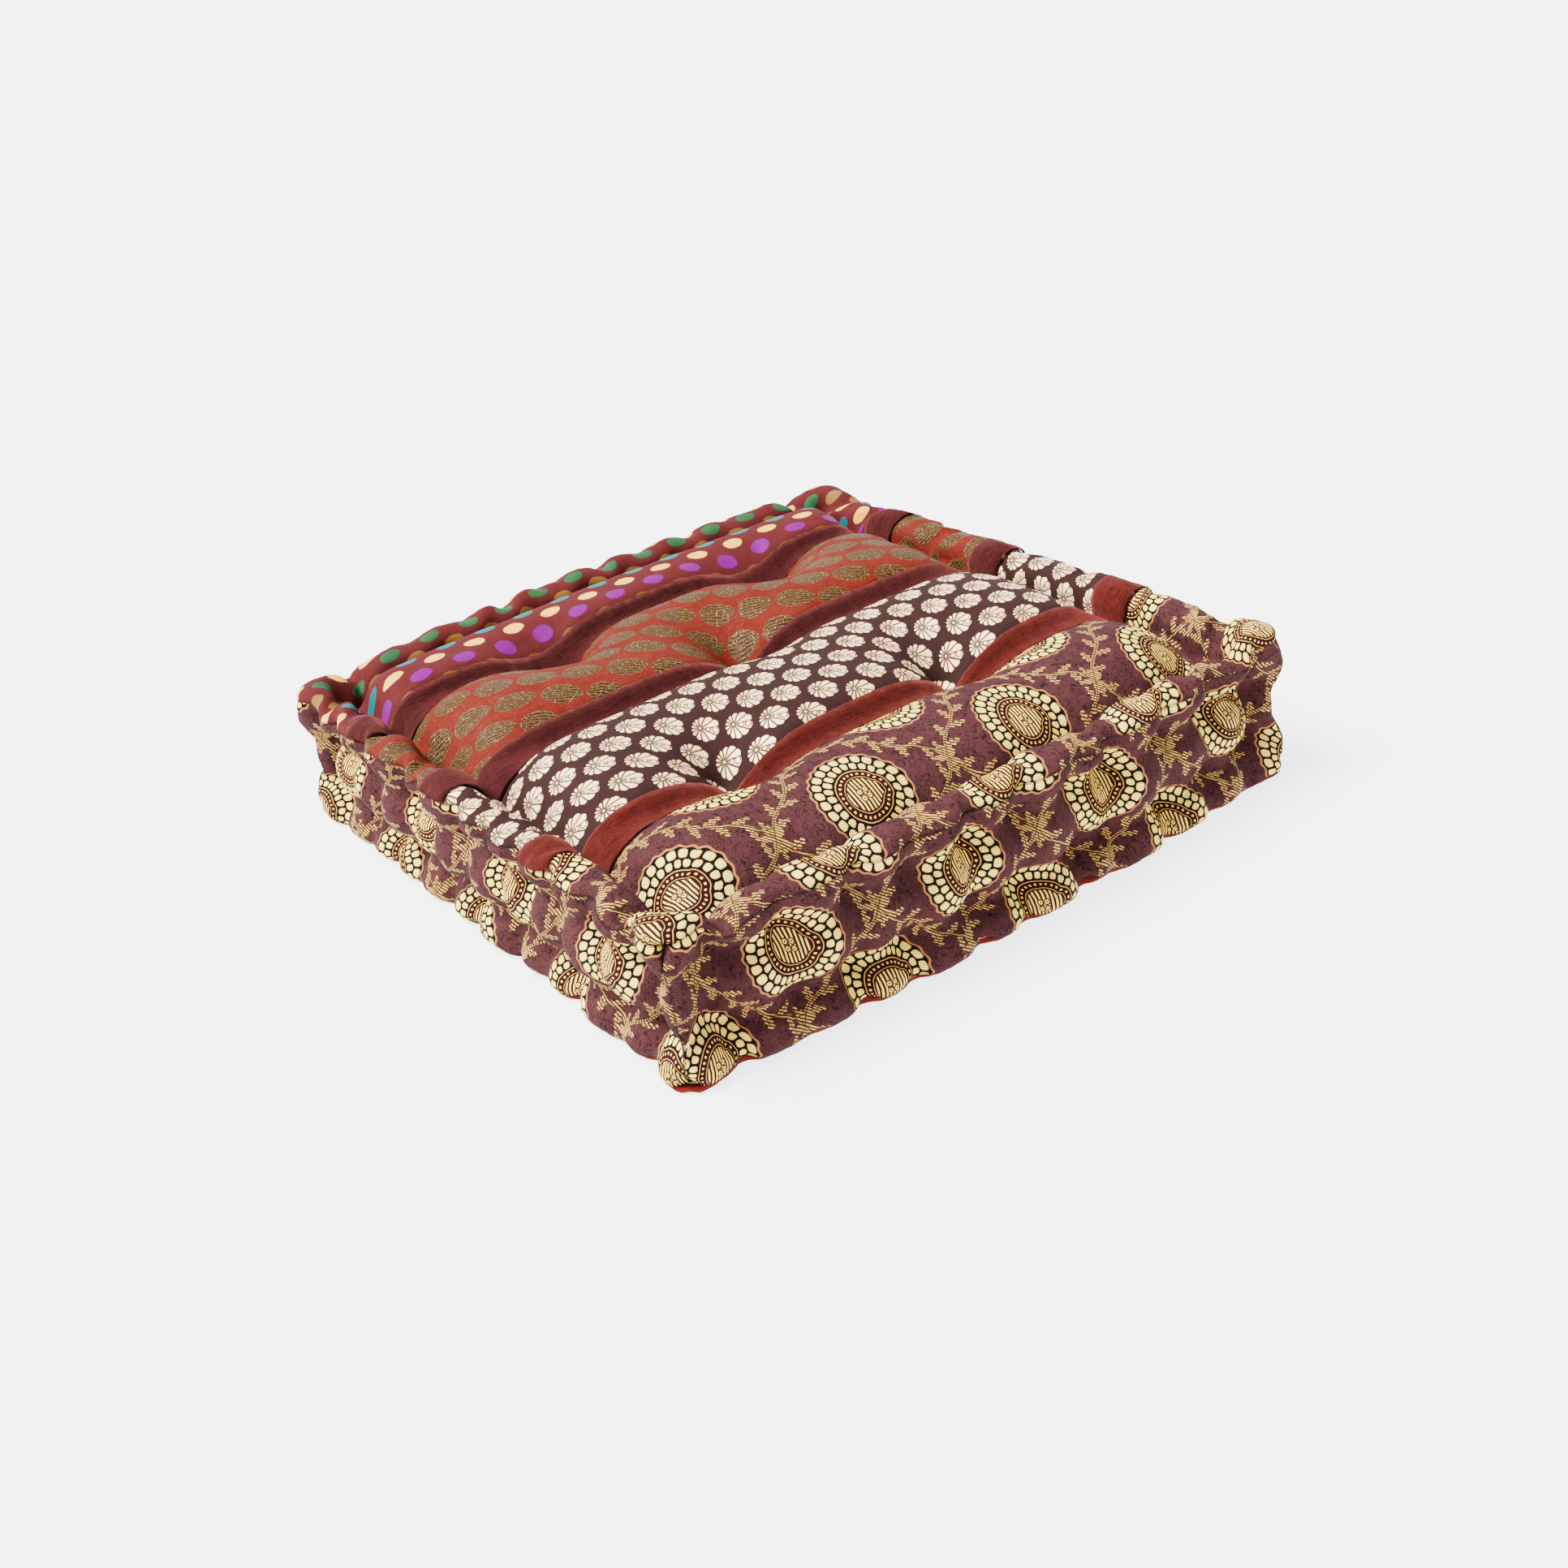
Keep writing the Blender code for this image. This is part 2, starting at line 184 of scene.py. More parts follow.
# The cut pieces. The pattern of each starts where its first motif lies.
STRIPS = {
    "strip_medallion": (-CUT_HALF, SEAMS[0], (-0.160, -0.153), ("top_strip_medallion", "roll_top_front")),
    "strip_rosette": (SEAMS[0], SEAMS[1], (0.004, 0.003), ("top_strip_rosette", "roll_top_left")),
    "strip_leaf": (SEAMS[1], SEAMS[2], (-0.003, 0.005), ("top_strip_leaf", "roll_top_right")),
    "strip_dotted": (SEAMS[2], CUT_HALF, (0.007, SEAMS[2] + RIBBON_HALF),
                     ("top_strip_dotted", "roll_top_back")),
}
PANEL_START = {
    "front": (-0.041, 0.012),
    "right": (0.010, 0.010),
    "back": (0.020, 0.008),
    "left": (0.051, 0.012),
}
PANEL_CORNER = {"front": "front_left", "right": "front_right", "back": "back_right", "left": "back_left"}


def smooth(share):
    """Smooth step from 0 to 1, on an array."""
    share = np.clip(share, 0, 1)
    return share * share * (3 - 2 * share)


def along(axis, level, upright):
    """The value for an upright axis or for a level one."""
    return upright if abs(axis[2]) else level


def bowed(points):
    """Swells the front and back outwards, most in their middle. x and y come first in each point."""
    points = np.array(points, float)
    points[..., 1] *= 1 + BOW / (SIDE / 2) * np.clip(1 - (points[..., 0] / (SIDE / 2)) ** 2, 0, 1)
    return points


def half_sizes(name):
    """Cells, flat half size and boxed half size along p and q, and the box's distance outwards."""
    p, q, n, _ = FACES[name]
    cells = [along(a, CELLS["x"], CELLS["z"]) for a in (p, q)]
    flat = [along(a, CUT_HALF, CUT_RISE / 2) for a in (p, q)]
    boxed = [along(a, SIDE / 2, HEIGHT / 2) for a in (p, q, n)]
    return cells, flat, boxed


def groove_distance(edge):
    """Cloth from a seam to the end of its roll."""
    return math.radians(edge[1] - edge[0]) * ROLL


def groove_place(edge, boxed):
    """Where that end lies, across the box."""
    return boxed - ROLL + ROLL * math.cos(math.radians(edge[1]))


def roll_profile(distance, ends, boxed, out, flat):
    """Where cloth at a distance from the seam lies, in the cross-section of a roll:
    towards the edge, and outwards. Past the groove it comes back to the face's full height."""
    turn = np.radians(ends[0]) + distance / ROLL
    edge = boxed - ROLL + ROLL * np.cos(turn)
    outwards = out - ROLL + ROLL * np.sin(turn)
    arc = groove_distance(ends)
    groove_edge = groove_place(ends, boxed)
    groove_out = out - ROLL + ROLL * math.sin(math.radians(ends[1]))
    inside = groove_edge * (1 - (distance - arc) / (flat - arc))
    rise = smooth((groove_edge - inside) / min(SHOULDER, groove_edge * 0.9))
    past = distance > arc
    return np.where(past, inside, edge), np.where(past, groove_out + (out - groove_out) * rise, outwards)


def face_points(name):
    """Flat coordinates and the rolled place of every mesh point of one face, with no stitch pulled."""
    p, q, n, seams = FACES[name]
    cells, flat, boxed = half_sizes(name)
    s, t = np.meshgrid(*[np.linspace(-f, f, c + 1) for f, c in zip(flat, cells)], indexing="ij")
    gaps = [flat[0] - np.abs(s), flat[1] - np.abs(t)]
    held = [smooth((g - CORNER_FLAT) / CORNER_FADE) for g in gaps]
    where, outwards = [], np.full(s.shape, boxed[2])
    for axis, value in enumerate((s, t)):
        base = boxed[axis] * (1 - gaps[axis] / flat[axis])
        low = roll_profile(gaps[axis], seams[2 * axis], boxed[axis], boxed[2], flat[axis])
        high = roll_profile(gaps[axis], seams[2 * axis + 1], boxed[axis], boxed[2], flat[axis])
        edge = np.where(value < 0, low[0], high[0])
        drop = boxed[2] - np.where(value < 0, low[1], high[1])
        where.append(np.sign(value) * (base + held[1 - axis] * (edge - base)))
        outwards = outwards - held[1 - axis] * drop
    points = sum(np.multiply.outer(a, np.array(v, float))
                 for a, v in zip((where[0], where[1], outwards), (p, q, n)))
    return s, t, points + np.array((0, 0, HEIGHT / 2))


def quads_of(grid):
    """The faces of a grid of point numbers."""
    return np.stack((grid[:-1, :-1], grid[1:, :-1], grid[1:, 1:], grid[:-1, 1:]), -1).reshape(-1, 4)


class Cover:
    """The cloth of the whole cushion as one closed mesh, and which points belong to each face."""

    def __init__(self):
        keys, points, self.flat, self.grid, spans = [], [], {}, {}, {}
        for name, (p, q, n, _) in FACES.items():
            cells = half_sizes(name)[0]
            s, t, place = face_points(name)
            self.flat[name] = np.stack((s, t), -1)
            i, j = np.meshgrid(*[2 * np.arange(c + 1) - c for c in cells], indexing="ij")
            out = along(n, CELLS["x"], CELLS["z"])
            key = sum(np.multiply.outer(a, np.array(v)) for a, v in zip((i, j, out + 0 * i), (p, q, n)))
            spans[name] = (sum(len(k) for k in keys), s.shape)
            keys.append(key.reshape(-1, 3))
            points.append(place.reshape(-1, 3))
        keys, points = np.concatenate(keys), np.concatenate(points)
        _, self.ids = np.unique(keys, axis=0, return_inverse=True)
        self.ids = self.ids.ravel()
        count = np.bincount(self.ids)
        self.points = bowed(np.stack([np.bincount(self.ids, points[:, k]) / count for k in range(3)], -1))
        for name, (start, shape) in spans.items():
            self.grid[name] = self.ids[start:start + shape[0] * shape[1]].reshape(shape)
        self.quads = np.concatenate([quads_of(g) for g in self.grid.values()])

    def nearest(self, face, s, t):
        """The mesh point of a face nearest to flat coordinates."""
        cells, flat, _ = half_sizes(face)
        i = round((s + flat[0]) / (2 * flat[0]) * cells[0])
        j = round((t + flat[1]) / (2 * flat[1]) * cells[1])
        return int(self.grid[face][i, j])


def stitch_places(upright, rng):
    """Distances of a roll's stitches from its middle."""
    if upright:
        return np.array(CORNER_STITCHES) + rng.uniform(-CORNER_SPREAD, CORNER_SPREAD, 2)
    ends = CUT_HALF - FIRST_STITCH
    count = round(2 * ends / STITCH_STEP)
    places = np.linspace(-ends, ends, count + 1)
    places[1:-1] += rng.uniform(-STITCH_SPREAD, STITCH_SPREAD, count - 1) * STITCH_STEP
    return places


class Stitch:
    """One thread end: the roll or tie it belongs to, and where it holds the cloth."""

    def __init__(self, roll, face, s, t, cover, place, reach):
        self.roll, self.face, self.s, self.t = roll, face, s, t
        self.point = cover.nearest(face, s, t)
        self.place, self.reach = place, reach


def roll_stitches(cover, rng):
    """The stitches on both sides of every edge roll. Both ends of one lie at the same place along it."""
    spots, found = {}, []
    for name, (p, q, n, seams) in FACES.items():
        _, flat, boxed = half_sizes(name)
        axes = [np.array(v, float) for v in (p, q, n)]
        for axis, sign in ((0, -1), (0, 1), (1, -1), (1, 1)):
            beside = TOWARDS[tuple(int(v) for v in sign * axes[axis])]
            roll = tuple(sorted((name, beside)))
            if roll not in spots:
                upright = abs(axes[1 - axis][2]) > 0
                spots[roll] = [(spot, rng.uniform(*STITCH_PULL)) for spot in stitch_places(upright, rng)]
            direction = axes[1 - axis].sum()
            if name in ("top", "bottom"):
                arc = groove_distance(seams[2 * axis + (sign > 0)])
            else:
                arc = SIDE_DENT
            deep_edge, deep_out = STITCH_DEPTHS.get(name, SIDE_DEPTHS)
            if roll == ("back", "top") and name == "top":
                deep_edge, deep_out = BACK_TOP_DEPTHS
            for spot, deep in spots[roll]:
                st = [0, 0]
                st[axis], st[1 - axis] = sign * (flat[axis] - arc), spot * direction
                stitch = Stitch(roll, name, st[0], st[1], cover, None, STITCH_REACH)
                edge = sign * (boxed[axis] - ROLL * deep_edge)
                out = boxed[2] - ROLL * deep_out * deep
                here = float(cover.points[stitch.point] @ axes[1 - axis])
                if abs(axes[1 - axis][2]):
                    here -= HEIGHT / 2
                place = axes[axis] * edge + axes[1 - axis] * here + axes[2] * out
                stitch.place = bowed(place + (0, 0, HEIGHT / 2))
                found.append(stitch)
    return found


def tuft_stitches(cover):
    """Both ends of the ties that draw the top and the underside together."""
    found = []
    for face, level in (("top", TUFT_TOP), ("bottom", TUFT_UNDER)):
        p, q, _, seams = FACES[face]
        _, flat, boxed = half_sizes(face)
        scale = (flat[0] - groove_distance(seams[0])) / groove_place(seams[0], boxed[0])
        for number, (x, y) in enumerate(TUFTS, 1):
            place = np.array((x, y, level))
            s, t = x * p[0] * scale, y * q[1] * scale
            found.append(Stitch(number, face, s, t, cover, place, TUFT_REACH[face]))
    return found


def shifted(grid, di, dj):
    """A grid and its copy moved by whole cells, where both lie on the grid."""
    rows, columns = grid.shape[:2]
    if dj < 0:
        return grid[:rows - di, -dj:], grid[di:, :columns + dj]
    return grid[:rows - di, :columns - dj], grid[di:, dj:]


class Cloth:
    """The cover's threads as lengths between points: along the weave, across it, and over two cells,
    where they give the cloth its stiffness against folding."""

    def __init__(self, cover):
        pairs, lengths, stretch, squeeze = [], [], [], []
        gap = {name: np.min(np.array(half_sizes(name)[1]) - np.abs(flat), axis=-1)
               for name, flat in cover.flat.items()}
        for name, grid in cover.grid.items():
            flat = cover.flat[name] * (FULL_TOP if name == "top" else FULL_SIDE)
            flat = bowed(flat) if name in ("top", "bottom") else flat
            for di, dj, pull, push in WEAVE:
                a, b = shifted(grid, di, dj)
                u, v = shifted(flat, di, dj)
                from_seam = np.minimum(*shifted(gap[name], di, dj))
                puffed = 1 + ROLL_EXTRA * smooth(1 - from_seam / ROLL_BAND)
                if name == "top":
                    swell = smooth((u[..., 1] / FULL_TOP - SEAMS[2] - SWELL_START) / SWELL_FADE)
                    puffed = puffed + BACK_SWELL * swell * (from_seam > SWELL_INSET)
                pairs.append(np.stack((a.ravel(), b.ravel()), -1))
                lengths.append((np.linalg.norm(v - u, axis=-1) * puffed).ravel())
                stretch.append(np.full(a.size, pull))
                squeeze.append(np.full(a.size, push))
        self.a, self.b = np.concatenate(pairs).T
        self.length = np.concatenate(lengths)
        self.stretch, self.squeeze = np.concatenate(stretch), np.concatenate(squeeze)
        self.count = len(cover.points)
        ends = np.bincount(np.concatenate((self.a, self.b)), minlength=self.count)
        self.share = ends[:, None] / THREAD_SHARE

    def tighten(self, points):
        """One pass of drawing every thread towards its own length."""
        way = points[self.b] - points[self.a]
        now = np.linalg.norm(way, axis=1) + 1e-9
        off = now - self.length
        give = np.where(off > 0, self.stretch, self.squeeze) * off / now * 0.5
        move = way * give[:, None]
        total = np.stack([np.bincount(self.a, move[:, k], self.count)
                          - np.bincount(self.b, move[:, k], self.count) for k in range(3)], -1)
        return points + total / self.share


def outward(points, quads):
    """Unit normals at the points of a closed mesh."""
    corners = points[quads]
    normal = np.cross(corners[:, 2] - corners[:, 0], corners[:, 3] - corners[:, 1])
    parts = [np.bincount(quads.ravel(), np.repeat(normal[:, k], 4), len(points)) for k in range(3)]
    total = np.stack(parts, -1)
    return total / (np.linalg.norm(total, axis=1, keepdims=True) + 1e-12)


def soft_holds(cover, start):
    """How firmly the sewing holds the rest of each groove and each ribbon, and the place it holds it to."""
    hold, target = np.zeros(len(start)), start.copy()
    for name, firm in GROOVE_HOLDS.items():
        flat, edges = half_sizes(name)[1], FACES[name][3]
        for k, strength in enumerate(firm):
            axis, sign = k // 2, (-1, 1)[k % 2]
            value, other = cover.flat[name][..., axis] * sign, cover.flat[name][..., 1 - axis]
            line = flat[axis] - groove_distance(edges[k])
            beside = (np.abs(value - line) < CELL * 0.55) & (np.abs(other) < flat[1 - axis] - 0.02)
            spots = cover.grid[name][beside]
            hold[spots] = np.maximum(hold[spots], strength)
    across = cover.flat["top"][..., 1]
    off_edges = np.abs(cover.flat["top"]).max(-1) < CUT_HALF - 0.05
    for seam in SEAMS:
        spots = cover.grid["top"][(np.abs(across - seam) < CELL * 1.6) & off_edges]
        hold[spots] = RIBBON_HOLD
        target[spots, 2] -= VALLEY
    past_ribbon, off_groove, off_ends = SWELL_GAPS
    groove = CUT_HALF - groove_distance(TOP_EDGES[3])
    swell = (across > SEAMS[2] + past_ribbon) & (across < groove - off_groove)
    spots = cover.grid["top"][swell & (np.abs(cover.flat["top"][..., 0]) < CUT_HALF - off_ends)]
    hold[spots] = SWELL_HOLD
    target[spots, 2] += SWELL_LIFT
    for face, (s, t) in ((f, c) for f in ("top", "bottom") for c in CORNERS):
        corner = cover.nearest(face, s * CUT_HALF, t * CUT_HALF)
        hold[corner] = CORNER_HOLD
        tuck = np.array(CORNER_TUCK)
        if face == "bottom":
            tuck[2] = BACK_LEFT_TUCK if (s, t) == (-1, -1) else UNDER_TUCK
        target[corner] += (HEIGHT / 2 * np.array((0, 0, 1)) - target[corner]) * tuck
    return hold[:, None], target


def relax(cover, held):
    """Stuffs the sewn cover, held at its stitches, and returns its points."""
    start = cover.points.copy()
    for stitch in held:
        away = np.linalg.norm(cover.points - cover.points[stitch.point], axis=1)
        fall = np.exp(-(away / (stitch.reach * 0.5)) ** 2)[:, None]
        start += fall * (stitch.place - start[stitch.point])
    cloth = Cloth(cover)
    hold, target = soft_holds(cover, start)
    pins = np.array([stitch.point for stitch in held])
    places = np.array([stitch.place for stitch in held])
    points = start.copy()
    for step in range(STEPS):
        points += outward(points, cover.quads) * (PUSH * (1 - PUSH_FADE * step / STEPS))
        for _ in range(PASSES):
            points = cloth.tighten(points)
            points += hold * (target - points)
            points[pins] = places
            points[:, 2] = np.maximum(points[:, 2], 0)
    return points


# ---------------------------------------------------------------- the finished pieces


def spline(places, low, step, cells):
    """Weights that draw a smooth curve through a row of points, at places along it."""
    place = (places - low) / step
    first = np.clip(np.floor(place), 0, cells - 1).astype(int)
    f = place - first
    weights = ((1 - f) ** 3, 3 * f ** 3 - 6 * f ** 2 + 4, -3 * f ** 3 + 3 * f ** 2 + 3 * f + 1, f ** 3)
    table = np.zeros((len(places), cells + 3))
    for k, weight in enumerate(weights):
        table[np.arange(len(places)), first + k] += weight / 6
    return table


def carried_on(values):
    """Rows of points with one more at each end, straight on from the last two."""
    return np.concatenate((2 * values[:1] - values[1:2], values, 2 * values[-1:] - values[-2:-1]))


class Skin:
    """The relaxed cover as a smooth surface over each face's flat coordinates."""

    def __init__(self, cover, points):
        self.cover = cover
        self.values = np.concatenate((points, outward(points, cover.quads)), -1)

    def at(self, face, s, t):
        """Points and unit normals on a grid of flat coordinates."""
        cells, flat, _ = half_sizes(face)
        net = self.values[self.cover.grid[face]]
        net = carried_on(carried_on(net).swapaxes(0, 1)).swapaxes(0, 1)
        rows = spline(s, -flat[0], 2 * flat[0] / cells[0], cells[0])
        columns = spline(t, -flat[1], 2 * flat[1] / cells[1], cells[1])
        made = np.tensordot(np.tensordot(rows, net, (1, 0)), columns, (1, 1)).swapaxes(1, 2)
        normals = made[..., 3:] / np.linalg.norm(made[..., 3:], axis=-1, keepdims=True)
        return made[..., :3], normals

    def spot(self, face, s, t):
        """One point and its normal."""
        points, normals = self.at(face, np.array([s]), np.array([t]))
        return points[0, 0], normals[0, 0]


def finished(name, points, faces, cloth=None, seam=None):
    """A new piece from points and faces. cloth gives each point's place on the flat cloth, in metres,
    and seam its distance from the nearest seam."""
    mesh = bpy.data.meshes.new(name)
    mesh.from_pydata(points.tolist(), [], [list(map(int, f)) for f in faces])
    mesh.update()
    mesh.shade_smooth()
    if cloth is not None:
        corners = np.empty(len(mesh.loops), np.int32)
        mesh.loops.foreach_get("vertex_index", corners)
        mesh.uv_layers.new(name="cloth").data.foreach_set("uv", cloth[corners].astype(np.float32).ravel())
    if seam is not None:
        mesh.attributes.new("seam", "FLOAT", "POINT").data.foreach_set("value", seam.astype(np.float32))
    made = bpy.data.objects.new(name, mesh)
    bpy.context.scene.collection.objects.link(made)
    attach(made, "root")
    return made


def thickened(piece):
    """Gives a cloth piece its thickness, inwards."""
    shell = piece.modifiers.new("thickness", "SOLIDIFY")
    shell.thickness = FABRIC
    shell.offset = -1


def sewn(s, t, gap):
    """How far sewing lifts the cloth at a distance from its seam: drawn in at the seam itself, a low
    ridge over the turned edge, and small puckers that die out away from it."""
    dip = -SEAM_DIP * np.exp(-(gap / DIP_WIDTH) ** 2)
    ridge = RIDGE * np.exp(-((gap - RIDGE_PLACE) / RIDGE_WIDTH) ** 2)
    ripple = np.sin(s * 870 + 2.5 * np.sin(t * 95 + s * 31)) + np.sin(t * 910 + 2.2 * np.sin(s * 88 + t * 27))
    pucker = PUCKER * ripple * (np.exp(-gap / PUCKER_END) - np.exp(-gap / PUCKER_START))
    return dip + ridge + pucker


def cut_places(low, high):
    """Evenly spaced flat coordinates for one piece's mesh."""
    return np.linspace(low, high, max(2, round((high - low) / CELL * FINER)) + 1)


def cut_size(face, low, high):
    """Length and width of a piece as it is cut, with what its bow and its rolls take up."""
    flat, full = half_sizes(face)[1], FULL_TOP if face == "top" else FULL_SIDE
    width = (high - low) * full
    if face in ("top", "bottom"):
        width *= 1 + BOW / (SIDE / 2) * 2 / 3
    rolls = (abs(low) > flat[1] - 0.001) + (abs(high) > flat[1] - 0.001)
    return 2 * flat[0] * full + ROLL_EXTRA * ROLL_BAND, width + ROLL_EXTRA * ROLL_BAND / 2 * rolls


def cloth_piece(skin, name, face, across=None, cut_from=(0, 0), seam_lines=()):
    """A piece of cloth over one face of the cover, or over a band of it. Its pattern starts at
    cut_from. Its own seams are the face's edges and the lines it is given across the face."""
    flat = half_sizes(face)[1]
    low, high = across or (-flat[1], flat[1])
    s, t = cut_places(-flat[0], flat[0]), cut_places(low, high)
    points, normals = skin.at(face, s, t)
    ss, tt = np.meshgrid(s, t, indexing="ij")
    gap = np.minimum(flat[0] - np.abs(ss), flat[1] - np.abs(tt))
    lift = sewn(ss, tt, gap)
    under = np.full(ss.shape, 1.0)
    for line in seam_lines:
        under = np.minimum(under, np.abs(np.abs(tt - line) - RIBBON_HALF))
        lift = lift - RIBBON_PRESS * (np.abs(tt - line) < RIBBON_HALF - RIBBON_LAP)
    lift = lift + np.where(under < 0.02, sewn(ss, tt, under + RIBBON_LAP) * 0.6, 0)
    points = points + normals * lift[..., None]
    points[..., 2] = np.maximum(points[..., 2], 0)
    grid = np.arange(ss.size).reshape(ss.shape)
    flat_places = np.stack((ss - cut_from[0], tt - cut_from[1]), -1).reshape(-1, 2)
    shade = np.minimum(gap, under + 0.0008)
    piece = finished(name, points.reshape(-1, 3), quads_of(grid), flat_places, shade.ravel())
    thickened(piece)
    cut_size(face, low, high)
    return piece


def ring_faces(count, sides):
    """Faces of a closed tube of count rings, ends capped."""
    ring = np.arange(count * sides).reshape(count, sides)
    around = np.concatenate((ring, ring[:, :1]), 1)
    return [*quads_of(around), ring[0][::-1], ring[-1]]


def ribbon(skin, name, line, rng):
    """A velvet ribbon over the seam between two strips, from one side of the cushion to the other."""
    s = cut_places(-CUT_HALF + 0.0004, CUT_HALF - 0.0004)
    upper = np.linspace(-RIBBON_HALF, RIBBON_HALF, RIBBON_POINTS)
    lower = upper[-2:0:-3]
    crown = RIBBON_THICK * (1 - 0.25 * (upper / RIBBON_HALF) ** 6)
    above, above_normals = skin.at("top", s, line + upper)
    beneath, beneath_normals = skin.at("top", s, line + lower)
    pile = rng.normal(0, PILE, above.shape[:2]) + NAP * np.sin(s * 540 + 3 * np.sin(s * 61))[:, None]
    above = above + above_normals * (crown + pile)[..., None]
    beneath = beneath - beneath_normals * 0.0003
    fray = rng.normal(0, FRAY, (len(s), 2))
    above[:, 0, 1] -= 0.0002 + np.abs(fray[:, 0])
    above[:, -1, 1] += 0.0002 + np.abs(fray[:, 1])
    points = np.concatenate((above, beneath), 1)
    flat_places = np.concatenate((upper, lower))
    cloth = np.stack(np.meshgrid(s, flat_places, indexing="ij"), -1)
    faces = ring_faces(len(s), points.shape[1])
    return finished(name, points.reshape(-1, 3), faces, cloth.reshape(-1, 2))


def tube(path, radius, sides=8):
    """Points, faces and cloth places of a round thread along a path, with both ends closed."""
    path = np.asarray(path, float)
    way = np.gradient(path, axis=0)
    way /= np.linalg.norm(way, axis=1, keepdims=True)
    side = np.cross(way[0], (0.31, 0.52, 0.79))
    rings, cloth, gone = [], [], 0.0
    for k, here in enumerate(path):
        side = side - way[k] * (side @ way[k])
        side /= np.linalg.norm(side)
        other = np.cross(way[k], side)
        turn = np.arange(sides) * 2 * math.pi / sides
        rings.append(here + radius * (np.outer(np.cos(turn), side) + np.outer(np.sin(turn), other)))
        gone += float(np.linalg.norm(path[k] - path[k - 1])) if k else 0.0
        cloth.append(np.stack((np.full(sides, gone), turn * radius), -1))
    return np.concatenate(rings), ring_faces(len(path), sides), np.concatenate(cloth)


def threads(name, paths, radius):
    """One piece made of several threads."""
    points, faces, cloth, first = [], [], [], 0
    for path in paths:
        made = tube(path, radius)
        points.append(made[0])
        faces += [np.asarray(f) + first for f in made[1]]
        cloth.append(made[2])
        first += len(made[0])
    return finished(name, np.concatenate(points), faces, np.concatenate(cloth))


def stitch_path(skin, stitch):
    """A thread that comes up out of the cloth, lies along the roll and goes down again."""
    flat = half_sizes(stitch.face)[1]
    at_p_edge = flat[0] - abs(stitch.s) < flat[1] - abs(stitch.t)
    path = []
    for reach, lift in STITCH_SHAPE:
        place = (stitch.s, stitch.t + reach) if at_p_edge else (stitch.s + reach, stitch.t)
        point, normal = skin.spot(stitch.face, *place)
        path.append(point + normal * lift)
    return path


def tie_path(skin, top, under):
    """Twine through the cushion, twice, with its loops over the top and under the bottom."""
    above, below = skin.spot("top", top.s, top.t)[0], skin.spot("bottom", under.s, under.t)[0]
    reach = TIE_RADIUS * 1.6
    high, low = above[2] + TIE_RADIUS * 0.4, max(below[2], 0.0006) + TIE_RADIUS * 0.5
    path = []
    for k in range(TIE_TURNS + 1):
        turn = math.pi * k / TIE_TURNS
        path.append((above[0] + reach * math.cos(turn), above[1], high - reach + reach * math.sin(turn)))
    for k in range(TIE_TURNS + 1):
        turn = math.pi * (1 + k / TIE_TURNS)
        path.append((below[0] + reach * math.cos(turn), below[1], low + reach + reach * math.sin(turn)))
    return path


def make_cover(skin):
    """The cut pieces of cloth. The CAD solids that each stands for are hidden."""
    made = {}
    for name, (low, high, start, nodes) in STRIPS.items():
        lines = [line for line in SEAMS if low - 0.001 < line < high + 0.001]
        made[name] = cloth_piece(skin, name, "top", (low, high), start, lines)
        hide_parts(*nodes)
    for side in SIDES:
        name = "side_" + side
        made[name] = cloth_piece(skin, name, side, None, PANEL_START[side])
        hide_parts("boxing_" + side, "roll_bottom_" + side, "roll_corner_" + PANEL_CORNER[side])
    made["underside"] = cloth_piece(skin, "underside", "bottom")
    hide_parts("bottom_panel")
    return made


def make_ribbons(skin, rng):
    """The three velvet ribbons."""
    made = {}
    for place, line in zip(RIBBONS, SEAMS):
        made[place] = ribbon(skin, "ribbon_" + place, line, rng)
        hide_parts("velvet_ribbon_" + place)
    return made


def make_wadding(cover, points):
    """The stuffing, which fills the cover."""
    drawn_in = points - outward(points, cover.quads) * WADDING_INSET
    made = finished("wadding", drawn_in, cover.quads)
    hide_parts("cotton_filling")
    return made


def roll_node(roll):
    """The name of a roll's stitching, from the two faces that it lies between."""
    if "top" in roll or "bottom" in roll:
        level = "top" if "top" in roll else "bottom"
        return "_".join((level, *[f for f in roll if f != level]))
    pair = [f for f in ("front", "back") if f in roll] + [f for f in ("left", "right") if f in roll]
    return "corner_" + "_".join(pair)


def make_sewing(skin, held):
    """The stitches of each roll, and the ties."""
    made, rolls, ties = [], {}, {}
    for stitch in held:
        kind = ties if isinstance(stitch.roll, int) else rolls
        kind.setdefault(stitch.roll, []).append(stitch)
    for roll, found in rolls.items():
        piece = threads("sewing_" + roll_node(roll), [stitch_path(skin, s) for s in found], STITCH_RADIUS)
        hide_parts("stitching_" + roll_node(roll))
        made.append(piece)
    for number, (top, under) in ties.items():
        piece = threads(f"tie_{number}", [tie_path(skin, top, under)], TIE_RADIUS)
        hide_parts(f"tuft_tie_{number}")
        made.append(piece)
    return made


# ---------------------------------------------------------------- formulas made of shader nodes

TURN = 2 * math.pi
SHINE = 0.06                                    # of every cloth and thread
SHEEN_ROUGH = 0.45
WHITE = (1, 1, 1, 1)


